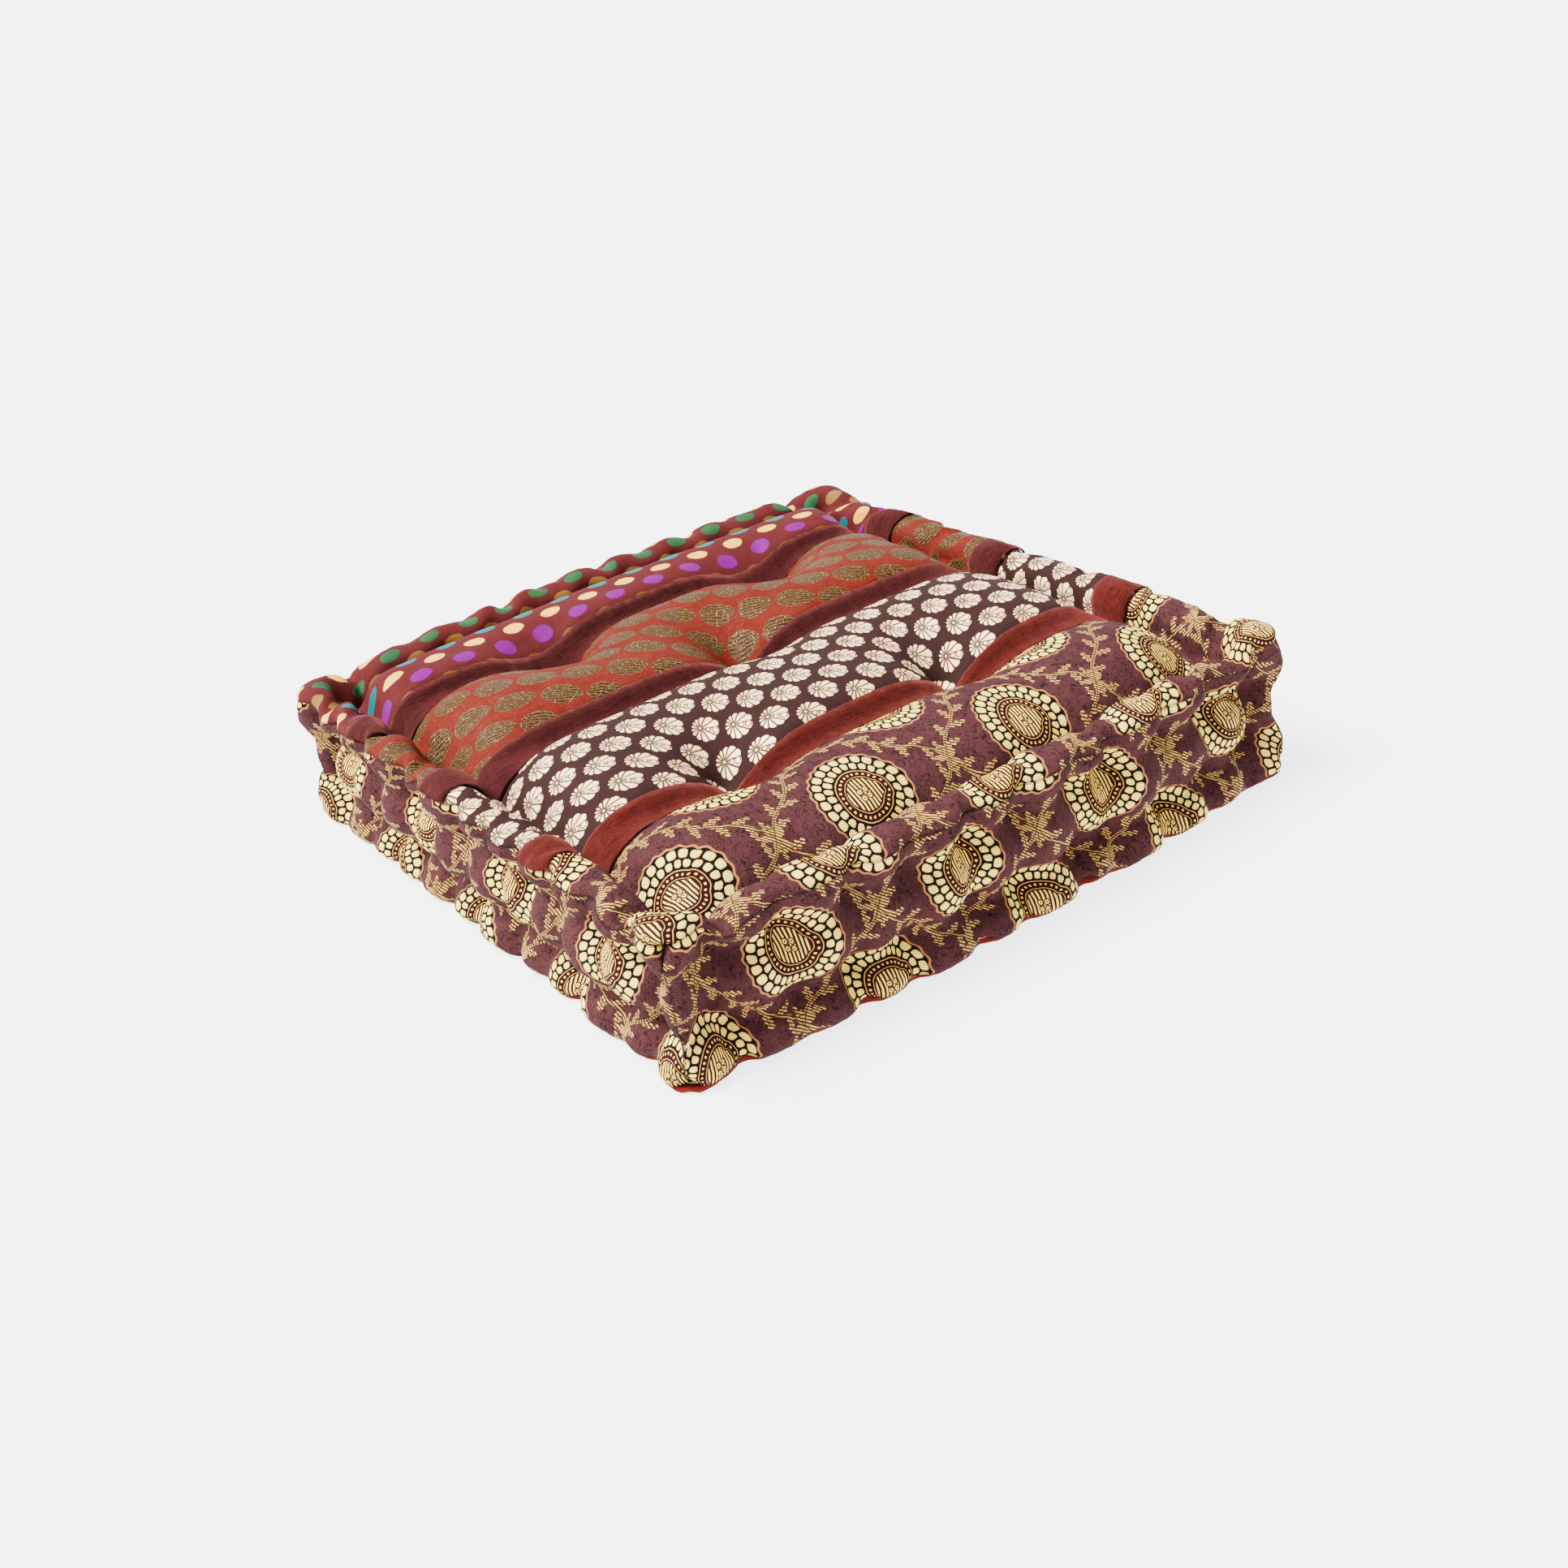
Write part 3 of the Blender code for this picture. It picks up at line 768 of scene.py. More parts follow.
class Field:
    """A value that changes over the cloth. Each step of a formula adds its node."""

    def __init__(self, tree, socket):
        self.tree, self.socket = tree, socket

    def math(self, operation, *others):
        return Field(self.tree, add(self.tree, "Math", (self, *others), operation=operation).outputs[0])

    def __add__(self, other):
        return self.math("ADD", other)

    def __sub__(self, other):
        return self.math("SUBTRACT", other)

    def __mul__(self, other):
        return self.math("MULTIPLY", other)

    def __truediv__(self, other):
        return self.math("DIVIDE", other)

    def __rsub__(self, other):
        return self.math("MULTIPLY_ADD", -1, other)

    def __abs__(self):
        return self.math("ABSOLUTE")

    __radd__ = __add__
    __rmul__ = __mul__


def add(tree, kind, values=(), **settings):
    """A new node with its settings, and numbers, colours or fields in its inputs, by place or name."""
    node = tree.nodes.new("ShaderNode" + kind)
    number = len(tree.nodes)
    node.location = (200 * (number % 14), -180 * (number // 14))
    for name, value in settings.items():
        setattr(node, name, value)
    for place, value in values.items() if isinstance(values, dict) else enumerate(values):
        if isinstance(value, Field):
            tree.links.new(value.socket, node.inputs[place])
        else:
            node.inputs[place].default_value = value
    return node


def fade(field, start, end):
    """0 up to start and 1 from end on, or the other way round where end is the lower."""
    values = {"Value": field, "From Min": start, "From Max": end}
    return Field(field.tree, add(field.tree, "MapRange", values, interpolation_type="SMOOTHSTEP").outputs[0])


def both(a, b):
    return a.math("MULTIPLY", b)


def either(a, *others):
    for other in others:
        a = a.math("MAXIMUM", other)
    return a


def outside(field):
    """What is left of 1."""
    return 1 - field


def near(field, place, reach, soft=0.5):
    """1 where a field is within reach of a place, with a soft edge."""
    return fade(abs(field - place), reach * (1 + soft), reach * (1 - soft))


def length(x, y):
    return (x * x + y * y).math("SQRT")


def wave(field, period):
    """A sine that repeats at each period."""
    return (field * TURN / period).math("SINE")


def place_of(x, y, z=0.0):
    """Two or three fields as one place."""
    return Field(x.tree, add(x.tree, "CombineXYZ", (x, y, z)).outputs[0])


def noise(place, scale, detail=2.0, rough=0.5, warp=0.0):
    """Cloudy noise, about 0.5."""
    values = {"Vector": place, "Scale": scale, "Detail": detail, "Roughness": rough, "Distortion": warp}
    return Field(place.tree, add(place.tree, "TexNoise", values).outputs[0])


def colour(code):
    """A colour written as on a dyer's card, in the shader's own numbers."""
    parts = [int(code[i:i + 2], 16) / 255 for i in (0, 2, 4)]
    return (*[c / 12.92 if c <= 0.04045 else ((c + 0.055) / 1.055) ** 2.4 for c in parts], 1.0)


def over(under, top, mask):
    """A colour laid over another where the mask says. Each is a field or the code of a colour."""
    under, top = (colour(c) if isinstance(c, str) else c for c in (under, top))
    node = add(mask.tree, "Mix", {0: mask, 6: under, 7: top}, data_type="RGBA")
    return Field(mask.tree, node.outputs[2])


GROUPS = {}


def group(name, inputs, outputs, build):
    """A node group with named sockets, built once. build takes the inputs and returns the outputs."""
    tree = bpy.data.node_groups.new(name, "ShaderNodeTree")
    for socket, value in inputs.items():
        kind = "NodeSocketColor" if isinstance(value, tuple) else "NodeSocketFloat"
        tree.interface.new_socket(socket, in_out="INPUT", socket_type=kind).default_value = value
    for socket in outputs:
        kind = "NodeSocketColor" if socket == "Colour" else "NodeSocketFloat"
        tree.interface.new_socket(socket, in_out="OUTPUT", socket_type=kind)
    entry, leave = tree.nodes.new("NodeGroupInput"), tree.nodes.new("NodeGroupOutput")
    entry.location, leave.location = (-300, 0), (3000, 0)
    for socket, field in zip(outputs, build(*[Field(tree, entry.outputs[n]) for n in inputs])):
        tree.links.new(field.socket, leave.inputs[socket])
    GROUPS[name] = tree


def use(name, *values):
    """A group placed in a material, with its inputs in order. Gives its outputs in order."""
    tree = next(v.tree for v in values if isinstance(v, Field))
    node = add(tree, "Group", node_tree=GROUPS[name])
    for place, value in enumerate(values):
        if isinstance(value, Field):
            tree.links.new(value.socket, node.inputs[place])
        else:
            node.inputs[place].default_value = value
    made = [Field(tree, socket) for socket in node.outputs]
    return made if len(made) > 1 else made[0]


def build_weave(across, along_it, thread):
    """Threads going over and under each other, some thicker than others, and where they are raised."""
    over_under = wave(across, thread) * wave(along_it, thread)
    slub = noise(place_of(across / thread * 0.12, along_it / thread * 1.3), 1.0, 3.0, 0.6)
    pick = noise(place_of(across / thread * 1.3, along_it / thread * 0.12, 7.0), 1.0, 3.0, 0.6)
    height = over_under * 0.5 + slub * 0.6 + pick * 0.6
    # the second output is where threads are raised; the fabrics paint it in a lit colour and the rest in a
    # shaded one, as painted light and shade
    return height, fade(height, 0.1, 1.1)


def build_motifs(across, along_it, pitch, rise):
    """Places on a lattice of staggered motifs: how far from the nearest one's middle, how far along
    the lattice's two directions, and a number of its own for each motif."""
    one, two = across / pitch + along_it / rise, across / pitch - along_it / rise
    first, second = one.math("ROUND"), two.math("ROUND")
    p, q = one - first, two - second
    chance = (first * 12.9898 + second * 78.233).math("SINE") * 437.58
    return (p + q) * pitch * 0.5, (p - q) * rise * 0.5, one, two, chance.math("FRACT")


def build_dyed(paint, across, along_it, amount):
    """Uneven dye and rubbed patches: large clouds, small ones, and single darker threads."""
    clouds = noise(place_of(across, along_it), 0.022, 3.0, 0.6)
    patches = noise(place_of(across, along_it, 4.0), 0.16, 2.0, 0.5)
    picks = noise(place_of(across * 0.02, along_it * 2.2), 1.0, 2.0, 0.7)
    ends = noise(place_of(across * 2.2, along_it * 0.02, 3.0), 1.0, 2.0, 0.7)
    total = (clouds - 0.5) * 1.3 + (patches - 0.5) * 0.8 + (picks - 0.5) * 0.9 + (ends - 0.5) * 0.7
    gain = total * amount * 2 + 1
    values = {"Value": gain, "Saturation": 1 - (gain - 1) * 0.25, "Color": paint}
    return (Field(paint.tree, add(paint.tree, "HueSaturation", values).outputs[0]),)


def build_lurex_and_glints(across, along_it, thread):
    """Painted glints on metallic thread: short bright dashes along it, laid into the colour as painted
    highlights.
    """
    dash = noise(place_of(across * 0.55, along_it / thread), 1.0, 2.0, 0.8)
    spark = noise(place_of(across * 1.6, along_it / thread * 0.8, 9.0), 1.0, 0.0)
    return (both(fade(dash, 0.56, 0.68), fade(spark, 0.52, 0.68)),)


def build_seam_soil_and_shade(gap):
    """Soiling and painted shade where cloth goes down into a seam."""
    return (fade(gap, 1.7, 0.2) * 0.6,)


group("weave", {"Across": 0.0, "Along": 0.0, "Thread": 0.5}, ("Height", "Raised"), build_weave)
group("motifs", {"Across": 0.0, "Along": 0.0, "Pitch": 30.0, "Rise": 20.0},
      ("X", "Y", "One", "Two", "Chance"), build_motifs)
group("dyed", {"Paint": WHITE, "Across": 0.0, "Along": 0.0, "Amount": 0.2}, ("Colour",), build_dyed)
group("lurex", {"Across": 0.0, "Along": 0.0, "Thread": 0.5}, ("Glint",), build_lurex_and_glints)
group("seam", {"Gap": 0.0}, ("Shade",), build_seam_soil_and_shade)


class Stuff:
    """A material in the making: its tree, and places on the flat cloth in millimetres."""

    def __init__(self, name, wander=0.25):
        self.material = bpy.data.materials.new(name)
        self.material.use_nodes = True
        self.tree = self.material.node_tree
        flat = add(self.tree, "UVMap", uv_map="cloth")
        parts = add(self.tree, "SeparateXYZ", (Field(self.tree, flat.outputs[0]),))
        across = Field(self.tree, parts.outputs[0]) * 1000
        along_it = Field(self.tree, parts.outputs[1]) * 1000
        sway = noise(place_of(across, along_it), 0.12, 2.0) - 0.5
        lean = noise(place_of(across, along_it, 5.0), 0.12, 2.0) - 0.5
        self.across, self.along_it = across + sway * wander * 8, along_it + lean * wander * 8
        self.plain_across, self.plain_along = across, along_it

    def cloud(self, scale, detail=2.0, rough=0.5, warp=0.0, layer=0.0):
        """Cloudy noise over the cloth."""
        return noise(place_of(self.across, self.along_it, layer), scale, detail, rough, warp)

    def woven(self, thread):
        """The height of the weave, and where it is raised."""
        return use("weave", self.plain_across, self.plain_along, thread)

    def seam(self):
        """How far into a seam the cloth goes, as a mask of soiling and painted shade."""
        gap = Field(self.tree, add(self.tree, "Attribute", attribute_name="seam").outputs["Fac"])
        return use("seam", gap * 1000)

    def finish(self, paint, height, rough, metal=None, depth=1.0, sheen=0.0, sheen_tint=WHITE):
        """Joins colour, height in millimetres, roughness and metal to the shader."""
        shader = self.tree.nodes["Principled BSDF"]
        join = self.tree.links.new
        join(paint.socket, shader.inputs["Base Color"])
        join(rough.socket, shader.inputs["Roughness"])
        if metal is not None:
            join(metal.socket, shader.inputs["Metallic"])
        raised = add(self.tree, "Bump", {"Height": height, "Strength": depth, "Distance": 0.001})
        join(raised.outputs[0], shader.inputs["Normal"])
        shader.inputs["Specular IOR Level"].default_value = SHINE
        shader.inputs["Sheen Weight"].default_value = sheen
        shader.inputs["Sheen Roughness"].default_value = SHEEN_ROUGH
        shader.inputs["Sheen Tint"].default_value = sheen_tint
        return self.material


# ---------------------------------------------------------------- the fabrics


def stones(ring, angle, count, radius, height, gap):
    """A ring of rounded stones: 1 inside each, 0 between them."""
    turn = angle * (count / TURN)
    aside = (turn - turn.math("ROUND")) * (TURN * radius / count)
    width = math.pi * radius / count - gap
    shape = (abs(aside) / width).math("POWER", 3) + (abs(ring - radius) / height).math("POWER", 3)
    return fade(shape, 1.35, 0.55)


def leafy(away, down, ragged):
    """A wavy vine: a stem with lobed leaves on alternate sides, and the dark line of its stem. away
    is the distance from its line, down is how far along it, ragged roughens its edge."""
    spacing = 11.65
    away = away + wave(down, 35) * 1.4
    side = away.math("SIGN")
    step = down / spacing + side * 0.25
    leaf = (step - step.math("ROUND")) * spacing
    out = abs(away) - 2.9
    long, wide = out * 0.72 + leaf * 0.69, leaf * 0.72 - out * 0.69
    lobes = (long * 2.1).math("SINE") * 0.6
    blade = length(long / 4.4, wide / (lobes + 1.5)) + ragged * 0.22
    body = either(fade(abs(away) + ragged * 1.2, 0.9, 0.6), fade(blade, 1.08, 0.92))
    vein = both(near(wide, 0.0, 0.22), fade(abs(long), 3.4, 2.6))
    return body, either(near(away, 0.0, 0.26), vein)


def medallion_brocade():
    """Plum ground with black sprigs, pale gold medallions of cobbled rings, and trellised vines."""
    stuff = Stuff("medallion_brocade", 0.20)
    u, v = stuff.across, stuff.along_it
    weave, raised = stuff.woven(0.62)
    pitch, rise, around = 102.0, 96.0, 25
    x, y, one, two, chance = use("motifs", u, v, pitch, rise)
    ring, angle = length(x, y), y.math("ARCTAN2", x)
    ring = ring - fade(angle.math("COSINE"), 0.86, 1.0) * 1.8

    outer = stones(ring, angle, around, 20.5, 2.15, 0.60)
    inner = stones(ring, angle + TURN / (2 * around), around, 15.7, 1.85, 0.54)
    beads = stones(ring, angle, 28, 10.6, 0.58, 0.66)
    hoops = either(near(ring, 12.5, 0.22), near(ring, 8.6, 0.16))
    edge = near(ring + (angle * 26).math("COSINE") * 0.45, 24.1, 0.50)
    disc = fade(ring, 7.8, 7.4)
    ribs = fade(wave(x, 1.9), -0.1, 0.5)
    eyes = length(abs(x) - 1.55, abs(y) - 1.55)
    eye_rim, eye_dot = near(eyes, 1.3, 0.34), fade(eyes, 0.6, 0.3)
    middle = both(fade(eyes, 1.7, 1.4), disc)
    field, core = fade(ring, 24.0, 23.4), fade(ring, 13.2, 12.9)

    spacing = 69.9
    ragged = stuff.cloud(0.75, 1.5, 0.6) - 0.5
    first_away, second_away = one.math("FRACT") - 0.5, two.math("FRACT") - 0.5
    first, first_line = leafy(first_away * spacing, two * spacing, ragged)
    second, second_line = leafy(second_away * spacing, one * spacing, ragged)
    crossing = length(first_away * spacing, second_away * spacing)
    turned = abs((first_away.math("ARCTAN2", second_away) * 2.5).math("COSINE"))
    flourish = fade(crossing - turned * 5.4 + ragged * 1.4, 1.6, 1.0)
    vines = both(either(first, second, flourish), fade(ring, 25.0, 26.0))
    hatch = fade(wave(u * 0.75 + v, 1.75), -0.35, 0.25)
    lines = both(either(first_line, second_line), vines)

    curls = stuff.cloud(0.42, 1.0, 0.5, 1.0)
    broken = stuff.cloud(0.22, 1.0, layer=3.0)
    sprigs = both(near(curls, 0.5, 0.034), fade(broken, 0.40, 0.48))
    sprigs = both(sprigs, outside(either(vines, field)))
    pepper = fade(stuff.cloud(1.3, 1.0), 0.58, 0.70)

    # raised threads painted in a lit plum and sunk ones in a shaded plum: painted light and shade of the
    # weave
    ground = over("1f0d0d", "472426", raised)
    ground = over(ground, "0c0507", either(sprigs * 0.9, pepper * 0.6))
    gold = over("2a1808", "b58c46", hatch)
    gold = over(gold, "130a08", lines * 0.9)
    paint = over(ground, gold, vines)
    paint = over(paint, over("060303", "1c0404", core), field)
    paint = over(paint, "8f5a30", edge)
    weft = fade(wave(v, 0.95), -0.9, 0.6)
    cream = over("a08426", "ffe070", weft)
    cream = over(cream, "e6bf58", chance * 0.5)
    paint = over(paint, cream, either(outer, inner))
    paint = over(paint, "dba848", either(hoops * 0.6, beads))
    paint = over(paint, over("1a0a04", "e8bc50", ribs), disc)
    paint = over(paint, "eec760", middle)
    paint = over(paint, "2c0e0a", both(either(eye_rim, eye_dot), disc))
    paint = use("dyed", paint, u, v, 0.18)
    # darker near the seams: soiling and painted shade
    paint = over(paint, "0c0507", stuff.seam())

    motif = either(outer, inner, beads, hoops, edge, disc, vines)
    height = weave * 0.07 + motif * 0.16 + weft * motif * 0.03 + stuff.cloud(0.2, 3.0) * 0.4
    rough = 0.88 - motif * 0.25
    return stuff.finish(paint, height, rough, motif * 0.1, 0.8)


def rosette_brocade():
    """Dark plum ground with silvery scalloped rosettes, each veined from one side."""
    stuff = Stuff("rosette_brocade", 0.2)
    u, v = stuff.across, stuff.along_it
    weave, raised = stuff.woven(0.55)
    pitch, rise, petals = 30.0, 20.0, 12
    x, y = use("motifs", u, v, pitch, rise)[:2]
    ring = length(x / 1.1, y)
    east, north = x + 2.2, y - 1.9
    reach = length(east, north)
    turn = north.math("ARCTAN2", east) * (petals / TURN)
    from_vein = abs(turn - turn.math("ROUND"))
    scallop = (from_vein * 2).math("POWER", 0.6)
    flower = fade(ring - scallop, 6.05, 5.65)
    veins = both(fade(from_vein * reach * (TURN / petals), 0.60, 0.28), fade(reach, 0.4, 0.9))
    from_eye, from_other = length(x - 0.9, y + 0.9), length(x - 3.9, y + 3.1)
    eye, other_eye = near(from_eye, 1.2, 0.30), near(from_other, 1.6, 0.30)
    within = either(fade(from_eye, 1.2, 0.9), fade(from_other, 1.5, 1.2))
    marks = either(both(veins, outside(within)), eye, other_eye)
    thread = fade(wave(v, 0.8), -0.8, 0.8)
    glint = use("lurex", u, v, 0.4)

    # raised threads painted in a lit colour and sunk ones in a shaded one: painted light and shade of the
    # weave
    ground = over("140808", "2c1715", raised)
    pale = over("cba070", "ffe3ae", thread)
    pale = over(pale, "dc9a80", fade(stuff.cloud(0.05, 2.0), 0.52, 0.7) * 0.7)
    # white glints on the lurex: painted highlights
    pale = over(pale, "ffffff", glint * 0.6)
    flower_only = both(flower, outside(marks * 0.95))
    paint = over(ground, pale, flower_only)
    paint = use("dyed", paint, u, v, 0.15)
    # darker near the seams: soiling and painted shade
    paint = over(paint, "150a10", stuff.seam())

    height = weave * 0.06 + flower_only * 0.14 + stuff.cloud(0.2, 3.0) * 0.35
    rough = 0.82 - flower_only * 0.34
    return stuff.finish(paint, height, rough, flower_only * 0.25, 0.8)


def leaf_brocade():
    """Coral ground with staggered olive-gold leaves, thread lines along them, and lurex with painted glints.
    """
    stuff = Stuff("leaf_brocade", 0.3)
    u, v = stuff.across, stuff.along_it
    weave, raised = stuff.woven(0.6)
    pitch, rise, half_long = 40.0, 24.0, 10.9
    x, y = use("motifs", u, v, pitch, rise)[:2]
    long, wide = x * 0.88 - y * 0.47, x * 0.47 + y * 0.88
    arch = (1 - (long / half_long).math("POWER", 2)).math("MAXIMUM", 0).math("POWER", 0.58)
    half = arch * (7.9 - long * 0.10)
    ruffle = stuff.cloud(0.8, 1.0) - 0.5
    leaf = fade(abs(wide) - half + ruffle * 0.8, 0.15, -0.35)
    bow = (long / half_long).math("POWER", 2) * wide * 0.35
    rib = fade(((wide + bow) * TURN / 2.1 + (long * 0.35).math("SINE") * 0.8).math("SINE"), -0.8, 0.0)
    rim = both(fade(abs(wide) - half, -1.0, -0.5), leaf)
    line = fade((v * TURN / 1.9 + noise(place_of(u * 0.05, v * 0.4), 1.0) * 5).math("SINE"), 0.35, 0.85)
    glint = use("lurex", u, v, 0.42)

    # raised threads painted in a lit coral and sunk ones in a shaded coral: painted light and shade of the
    # weave
    ground = over("380906", "5c140d", raised)
    ground = over(ground, "47200e", line * 0.45)
    # glints on the ground's lurex: painted highlights
    ground = over(ground, "d08a48", glint * 0.3)
    gold = over("120804", "41280d", rib)
    gold = over(gold, "55260f", rim * 0.7)
    # pale glints on the leaves: painted highlights
    gold = over(gold, "ffe9ad", glint * 0.85)
    paint = over(ground, gold, leaf)
    paint = use("dyed", paint, u, v, 0.2)
    # darker near the seams: soiling and painted shade
    paint = over(paint, "220a06", stuff.seam())

    height = weave * 0.07 + leaf * 0.16 + rib * leaf * 0.05 + stuff.cloud(0.2, 3.0) * 0.4
    shine = either(leaf * 0.5, glint)
    rough = 0.80 - shine * 0.45
    metal = both(leaf, fade(glint, 0.0, 1.0)) * 0.5 + leaf * 0.05
    return stuff.finish(paint, height, rough, metal, 0.85)


# Colours of the rows of ovals, from the ribbon back.
DOT_ROWS = ("5e3709", "5a005c", "d69a34", "004f55", "d69a34", "6e4d20", "6e4d20", "1b4526", "d69a34")


def dotted_brocade():
    """Brick ground with rows of silk ovals, one colour to a row."""
    stuff = Stuff("dotted_brocade", 0.25)
    u, v = stuff.across, stuff.along_it
    weave, raised = stuff.woven(0.55)
    pitch, step, half_long, half_wide = 27.0, 9.3, 6.7, 3.9
    level = v / step + 0.28
    row = level.math("ROUND")
    shift = row.math("FLOORED_MODULO", 2) * 0.5
    place = u / pitch + shift
    x, y = (place - place.math("ROUND")) * pitch, (level - row) * step
    ripple = stuff.cloud(0.5, 1.0) - 0.5
    from_middle = length(x / half_long, y / half_wide) + ripple * 0.14
    oval = fade(from_middle, 1.03, 0.95)
    rim = both(fade(from_middle, 0.86, 0.95), oval)
    ramp = add(stuff.tree, "ValToRGB", ((row + 0.5) / len(DOT_ROWS),))
    ramp.color_ramp.interpolation = "CONSTANT"
    for number, code in enumerate(DOT_ROWS):
        if number > 1:
            ramp.color_ramp.elements.new(number / len(DOT_ROWS))
        ramp.color_ramp.elements[number].position = number / len(DOT_ROWS)
        ramp.color_ramp.elements[number].color = colour(code)
    floss = fade(wave(u, 0.75), -0.9, 0.9)

    # raised threads painted in a lit brick and sunk ones in a shaded brick: painted light and shade of the
    # weave
    ground = over("2d0b0c", "4e191a", raised)
    silk = over(Field(stuff.tree, ramp.outputs[0]), "2e0c0b", floss * 0.15 + rim * 0.25)
    paint = use("dyed", over(ground, silk, oval), u, v, 0.13)
    # darker near the seams: soiling and painted shade
    paint = over(paint, "1d0a0a", stuff.seam())

    height = weave * 0.06 + oval * 0.17 + floss * oval * 0.04 + stuff.cloud(0.2, 3.0) * 0.35
    return stuff.finish(paint, height, 0.82 - oval * 0.32, None, 0.8)


def velvet(name, deep, lit):
    """Cotton velvet ribbon: streaked lengthwise and mottled where the pile leans, painted as a mix of a
    shaded and a lit colour, which is painted light and shade; darker at the edges.
    """
    stuff = Stuff(name, 0.5)
    u, v = stuff.across, stuff.along_it
    streak = noise(place_of(u * 0.06, v * 1.5), 1.0, 3.0, 0.65)
    lean = stuff.cloud(0.35, 3.0, 0.65, 0.6)
    pile = stuff.cloud(2.6, 2.0, 0.7)
    lie = fade(streak * 0.7 + lean * 0.4 + pile * 0.35, 0.52, 0.92)
    # the lie of the pile picks the shaded or the lit colour: painted light and shade
    paint = over(deep, lit, lie)
    edge = fade(abs(stuff.plain_along), 10.6, 12.4)
    paint = over(paint, deep, edge * 0.5)
    paint = use("dyed", paint, u, v, 0.16)
    height = streak * 0.35 + pile * 0.35 + lean * 0.5
    return stuff.finish(paint, height, 0.96 - lie * 0.1, None, 0.9, 0.16, (1.0, 0.25, 0.2, 1))


def plain_cloth(name, deep, lit, thread, sheen, fluff):
    """Plain cloth or wadding, by its thread and its fluff."""
    stuff = Stuff(name, 0.3)
    u, v = stuff.across, stuff.along_it
    weave, raised = use("weave", u, v, thread)
    tuft = stuff.cloud(fluff, 4.0, 0.7, 0.5)
    # raised threads and fluff painted in the lit colour and the rest in the deep one: painted light and shade
    paint = use("dyed", over(deep, lit, raised * 0.5 + tuft * 0.5), u, v, 0.2)
    height = weave * 0.1 * thread + tuft * 0.4
    return stuff.finish(paint, height, 0.85 + tuft * 0.1, None, 0.9, sheen)


def twine(name, deep, lit):
    """Cotton thread or twine, its strands laid round it."""
    stuff = Stuff(name, 0.05)
    u, v = stuff.plain_across, stuff.plain_along
    strand = wave(u * 1.3 + v * 1.7, 1.6)
    # strand crests painted in the lit colour and the grooves between strands in the deep one: painted light
    # and shade
    paint = over(deep, lit, fade(strand, -0.9, 0.5))
    paint = use("dyed", paint, u, v, 0.15)
    return stuff.finish(paint, strand * 0.12, 0.9 - fade(strand, 0, 1) * 0.05, None, 0.9, 0.1)


# ---------------------------------------------------------------- the studio


CAMERA_PLACE = (-1.2635, -2.0250, 1.2760)       # in lengths of the cushion's side
CAMERA_LOOKS = (0.46935, 0.74909, -0.46752)
CAMERA_LEAN = -8.96                             # degrees
LENS = 43.2                                     # millimetres, on a sensor 36 wide
STEP_BACK = 0.012                               # room for the corners, which swell past the sewn box
FLOOR_HALF = 18.0
WALL_HEIGHT = 5.0
FLOOR_GLOW = 3.4
SUN_WATTS = 21.0                                # for each square metre
SUN_ANGLE = 30.0                                # degrees across, which softens its shadows
SUN_SHINES = (0.75, -0.35, -1.5)


def make_camera():
    """The camera, from above and to the left of the near edge."""
    place = Vector(CAMERA_PLACE) * SIDE
    forward = Vector(CAMERA_LOOKS).normalized()
    place -= forward * STEP_BACK
    turn = forward.to_track_quat("-Z", "Y").to_matrix().to_4x4()
    data = bpy.data.cameras.new("camera")
    data.sensor_width = 36
    data.lens = LENS
    data.clip_start, data.clip_end = 0.01, 200
    made = bpy.data.objects.new("camera", data)
    made.matrix_world = Matrix.Translation(place) @ turn @ Matrix.Rotation(math.radians(CAMERA_LEAN), 4, "Z")
    bpy.context.scene.collection.objects.link(made)
    bpy.context.scene.camera = made


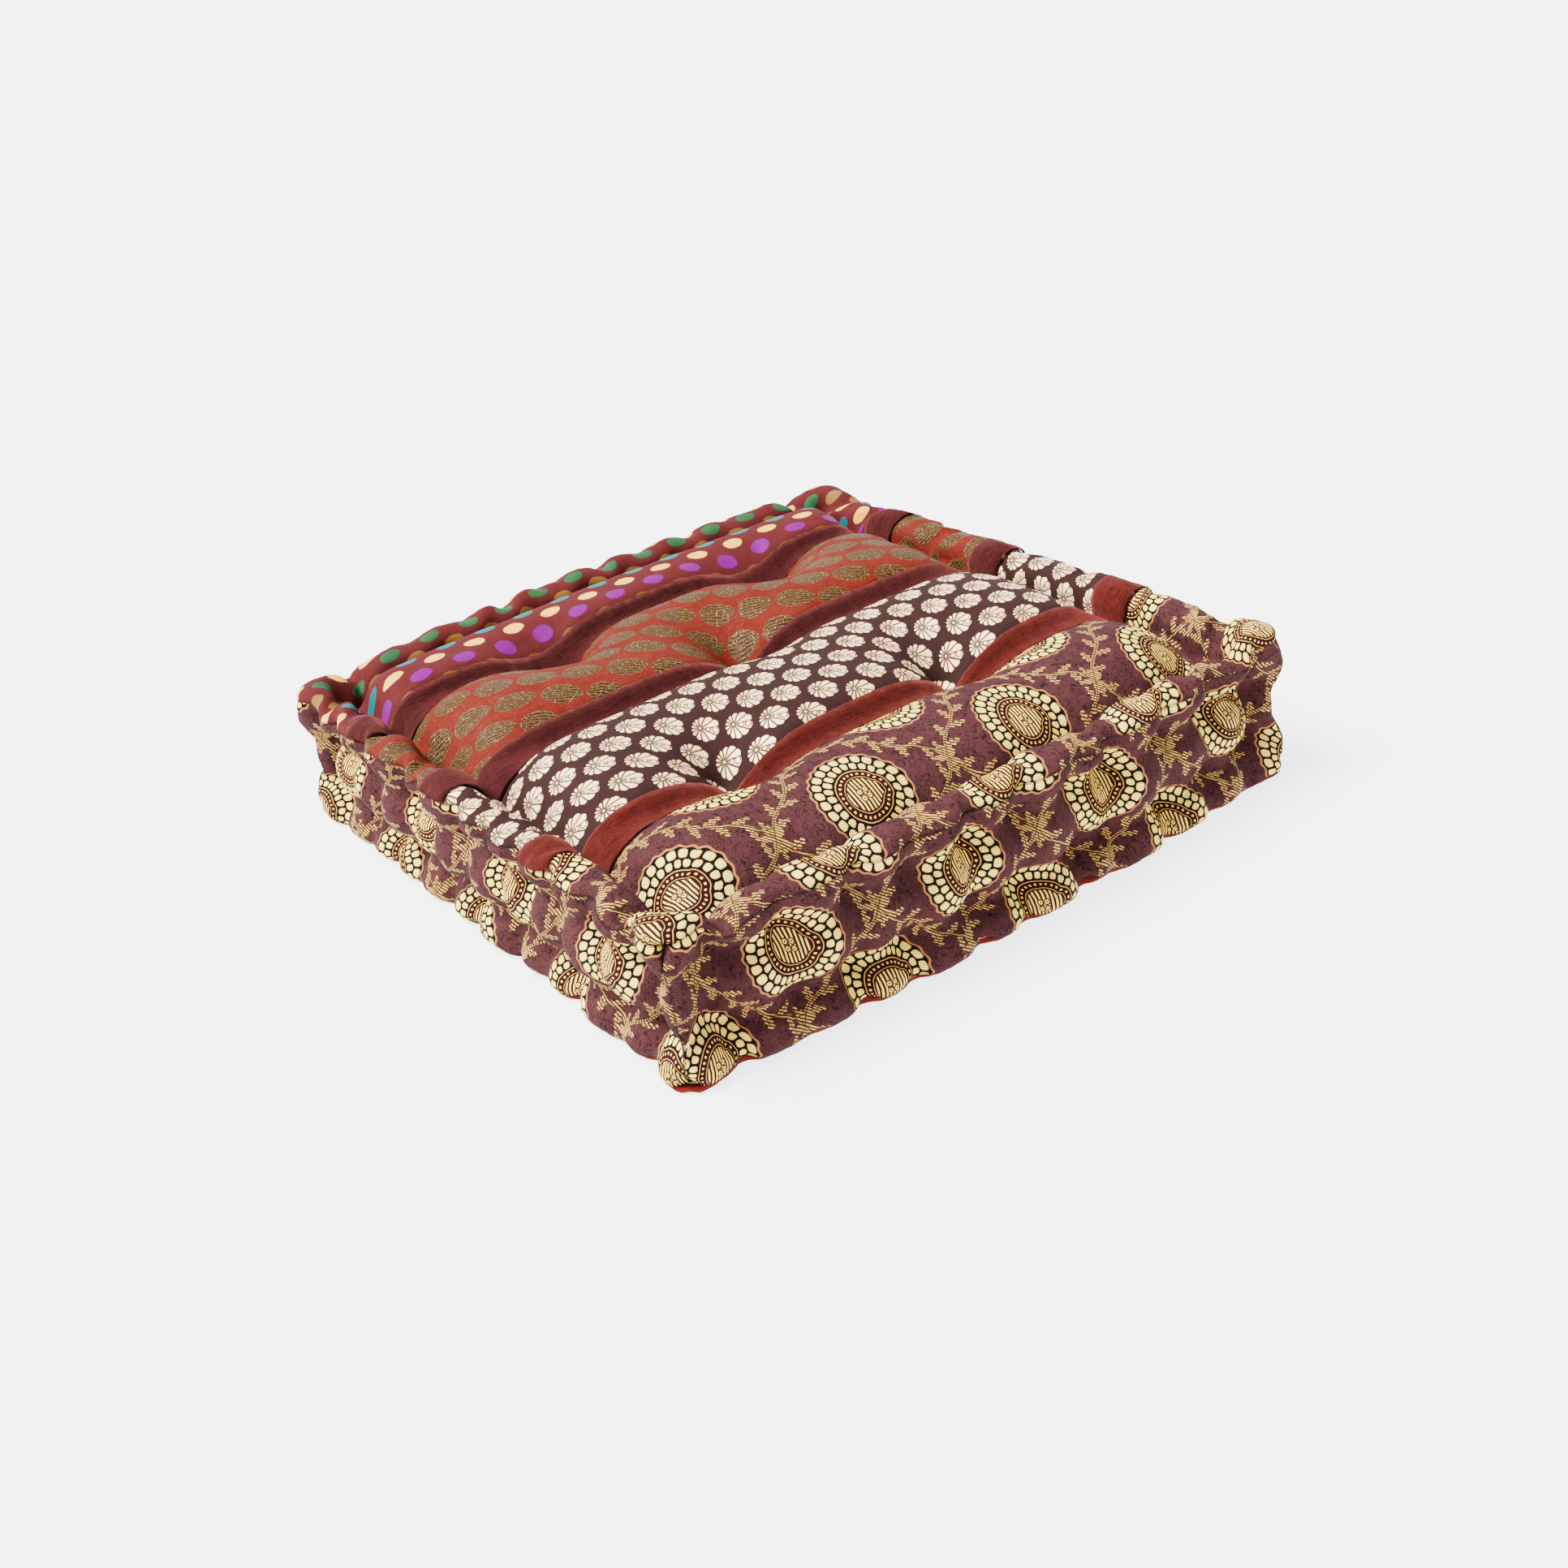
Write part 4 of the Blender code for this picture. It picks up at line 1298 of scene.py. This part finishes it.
def make_studio():
    """A wide pale floor with far walls of the same, which glow, an even sky and one soft key light."""
    mesh = bpy.data.meshes.new("floor")
    around = ((-1, -1), (1, -1), (1, 1), (-1, 1))
    rings = [(x * FLOOR_HALF, y * FLOOR_HALF, z) for z in (0, WALL_HEIGHT) for x, y in around]
    walls = [((k + 1) % 4, k, k + 4, (k + 1) % 4 + 4) for k in range(4)]
    mesh.from_pydata(rings, [], [(0, 1, 2, 3), *walls])
    floor = bpy.data.objects.new("floor", mesh)
    bpy.context.scene.collection.objects.link(floor)
    pale = bpy.data.materials.new("floor_pale")
    pale.use_nodes = True
    shader = pale.node_tree.nodes["Principled BSDF"]
    shader.inputs["Base Color"].default_value = (0.40, 0.40, 0.395, 1)
    shader.inputs["Roughness"].default_value = 0.95
    shader.inputs["Specular IOR Level"].default_value = 0.1
    shader.inputs["Emission Color"].default_value = WHITE
    shader.inputs["Emission Strength"].default_value = FLOOR_GLOW
    mesh.materials.append(pale)
    world = bpy.data.worlds.new("studio")
    world.use_nodes = True
    world.node_tree.nodes["Background"].inputs["Color"].default_value = (0.98, 0.99, 1, 1)
    world.node_tree.nodes["Background"].inputs["Strength"].default_value = 1.0
    bpy.context.scene.world = world
    data = bpy.data.lights.new("key", "SUN")
    data.energy, data.angle = SUN_WATTS, math.radians(SUN_ANGLE)
    light = bpy.data.objects.new("key", data)
    light.matrix_world = Vector(SUN_SHINES).to_track_quat("-Z", "Y").to_matrix().to_4x4()
    bpy.context.scene.collection.objects.link(light)


def dress(piece, material):
    """Gives a piece its material and the slot that it takes its finish from."""
    piece.data.materials.append(material)


make_camera()
make_studio()
rng = np.random.default_rng(SEED)
cover = Cover()
held = roll_stitches(cover, rng) + tuft_stitches(cover)
points = relax(cover, held)
skin = Skin(cover, points)
wadding = make_wadding(cover, points)
cloths = make_cover(skin)
ribbons = make_ribbons(skin, rng)
sewing = make_sewing(skin, held)

medallion = medallion_brocade()
# each pair of colours below is the shaded and the lit colour of one cloth, which the materials mix as painted
# light and shade
rust = velvet("velvet_rust", "1f0403", "44100a")
oxblood = velvet("velvet_oxblood", "140304", "340d0d")
tie_twine = twine("cotton_twine", "7d705a", "e6dcc6")
sewing_thread = twine("sewing_thread", "1d0a0b", "5a2a2c")
dress(cloths["strip_medallion"], medallion)
dress(cloths["strip_rosette"], rosette_brocade())
dress(cloths["strip_leaf"], leaf_brocade())
dress(cloths["strip_dotted"], dotted_brocade())
dress(cloths["underside"], plain_cloth("red_cotton", "340907", "5e1611", 0.6, 0.0, 0.3))
dress(wadding, plain_cloth("cotton_filling", "b9b0a0", "efe9dc", 1.4, 0.3, 0.8))
for side in SIDES:
    dress(cloths["side_" + side], medallion)
for place, piece in ribbons.items():
    dress(piece, rust if place == "front" else oxblood)
for piece in sewing:
    dress(piece, tie_twine if piece.name.startswith("tie") else sewing_thread)
